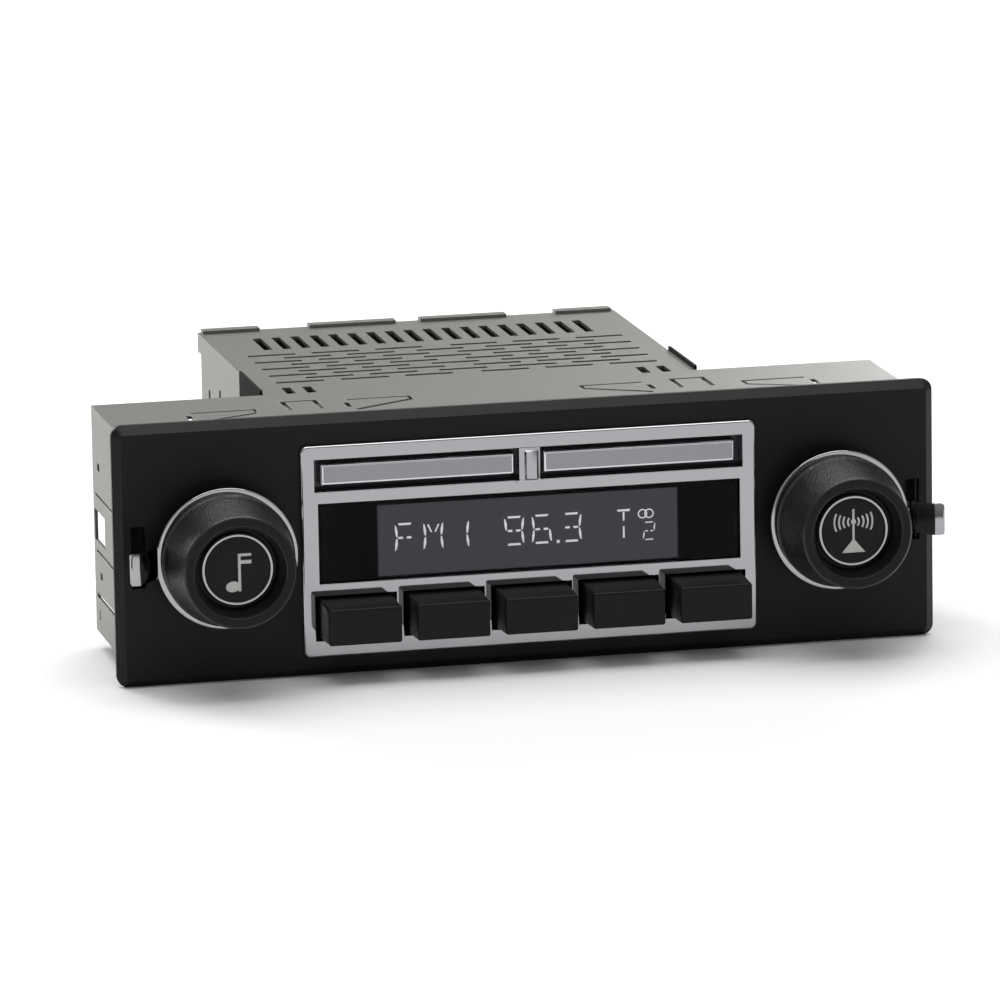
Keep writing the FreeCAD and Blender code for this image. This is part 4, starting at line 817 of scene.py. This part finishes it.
# places are in mm from the middle of the shafts' line
display = {
    "writing": [("F", -30.5), ("M", -24.0), ("1", -18.1), ("9", -5.5), ("6", 0.85), ("3", 7.7), ("T", 19.7)],
    "small": dict(sign="2", x=26.4, z=-3.5, scale=0.63, slim=0.9),
    "rings": [26.35, 27.85], "ringLevel": 2.6, "ringRadius": 0.95, "ringWidth": 0.3,
    "point": [(6.5, -2.9), (7.2, -2.9), (7.2, -2.2), (6.5, -2.2)], "thick": 0.09,
}
small = display["small"]
strokes = [segment(part, x, cell["low"]) for sign, x in display["writing"] for part in signs[sign]]
strokes += [segment(part, small["x"], small["z"], small["scale"], small["slim"]) for part in signs[small["sign"]]]
strokes += [arcBar(x, display["ringLevel"], display["ringRadius"], 0, 359.9, display["ringWidth"], 40)
            for x in display["rings"]]
strokes.append(display["point"])
thick = display["thick"] * mm
mesh = prismMesh("lcdCharacterMesh", strokes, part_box("lcd_panel")[0][1] - thick, thick, (0, shaftLevel))
addPiece("lcd_characters", mesh, finish["lcdInk"], "radio")
print("display written")


# studio

def areaLight(name, place, aim, size, power, color=(1, 1, 1)):
    light = bpy.data.lights.new(name, "AREA")
    light.shape = "RECTANGLE"
    light.size, light.size_y = size
    light.energy = power
    light.color = color
    lamp = bpy.data.objects.new(name, light)
    bpy.context.scene.collection.objects.link(lamp)
    lamp.location = place
    lamp.rotation_euler = (Vector(aim) - Vector(place)).to_track_quat("-Z", "Y").to_euler()
    return lamp


studio = {
    "floorColor": 0.8, "floorReach": 6.0,
    "worldLow": 0.2, "worldHigh": 0.65,
    "top": dict(place=(0, 0.3, 1.3), aim=(0, 0.3, 0), size=(1.3, 1.5), power=18),
    "left": dict(place=(-0.8, 1.5, 0.8), aim=(-0.05, 0, 0.03), size=(0.6, 0.5), power=15),
    "right": dict(place=(0.9, 1.6, 0.5), aim=(0.05, 0, 0.03), size=(0.6, 0.5), power=10),
}


def makeStudio():
    world = bpy.data.worlds.new("studioWorld")
    bpy.context.scene.world = world
    world.use_nodes = True
    tree = world.node_tree.nodes
    link = world.node_tree.links.new
    sky = tree["Background"]
    place = tree.new("ShaderNodeTexCoord")
    parts = tree.new("ShaderNodeSeparateXYZ")
    link(place.outputs["Generated"], parts.inputs[0])
    rise = tree.new("ShaderNodeMapRange")
    rise.inputs["From Min"].default_value = 0.0
    rise.inputs["From Max"].default_value = 0.7
    rise.inputs["To Min"].default_value = studio["worldLow"]
    rise.inputs["To Max"].default_value = studio["worldHigh"]
    link(parts.outputs["Z"], rise.inputs["Value"])
    link(rise.outputs["Result"], sky.inputs["Strength"])
    sky.inputs["Color"].default_value = (1, 1, 1, 1)
    half = studio["floorReach"]
    corners = [(-half, -half, 0), (half, -half, 0), (half, half, 0), (-half, half, 0)]
    mesh = meshFrom("floorMesh", corners, [(0, 1, 2, 3)])
    floor = bpy.data.objects.new("floor", mesh)
    bpy.context.scene.collection.objects.link(floor)
    paper = bpy.data.materials.new("floorPaper")
    paper.use_nodes = True
    shader = paper.node_tree.nodes["Principled BSDF"]
    shade = studio["floorColor"]
    shader.inputs["Base Color"].default_value = (shade, shade, shade, 1)
    shader.inputs["Roughness"].default_value = 0.9
    shader.inputs["Specular IOR Level"].default_value = 0.1
    mesh.materials.append(paper)
    for name in ("top", "left", "right"):
        areaLight(name + "Light", **studio[name])


cameraSetup = {"turn": -12.591, "tilt": 11.78, "roll": -0.941, "lens": 286.1, "distance": 1.77706,
               "slide": (-0.006602, 0.007455)}


def makeCamera():
    turn, tilt, roll = (math.radians(cameraSetup[word]) for word in ("turn", "tilt", "roll"))
    back = Vector((math.sin(turn) * math.cos(tilt), -math.cos(turn) * math.cos(tilt), math.sin(tilt)))
    across = Vector((math.cos(turn), math.sin(turn), 0))
    upward = back.cross(across)
    right = across * math.cos(roll) + upward * math.sin(roll)
    up = -across * math.sin(roll) + upward * math.cos(roll)
    lens = bpy.data.cameras.new("camera")
    lens.lens = cameraSetup["lens"]
    lens.sensor_width = 36
    lens.clip_start = 0.05
    camera = bpy.data.objects.new("camera", lens)
    bpy.context.scene.collection.objects.link(camera)
    slide = cameraSetup["slide"]
    centre = Vector((0, bezelFace, shaftLevel))
    camera.matrix_world = Matrix.Translation(
        centre + back * cameraSetup["distance"] + right * slide[0] + up * slide[1]) @ \
        Matrix((right, up, back)).transposed().to_4x4()
    bpy.context.scene.camera = camera


makeStudio()
makeCamera()
bpy.context.scene.view_settings.view_transform = "Standard"
print("studio ready")
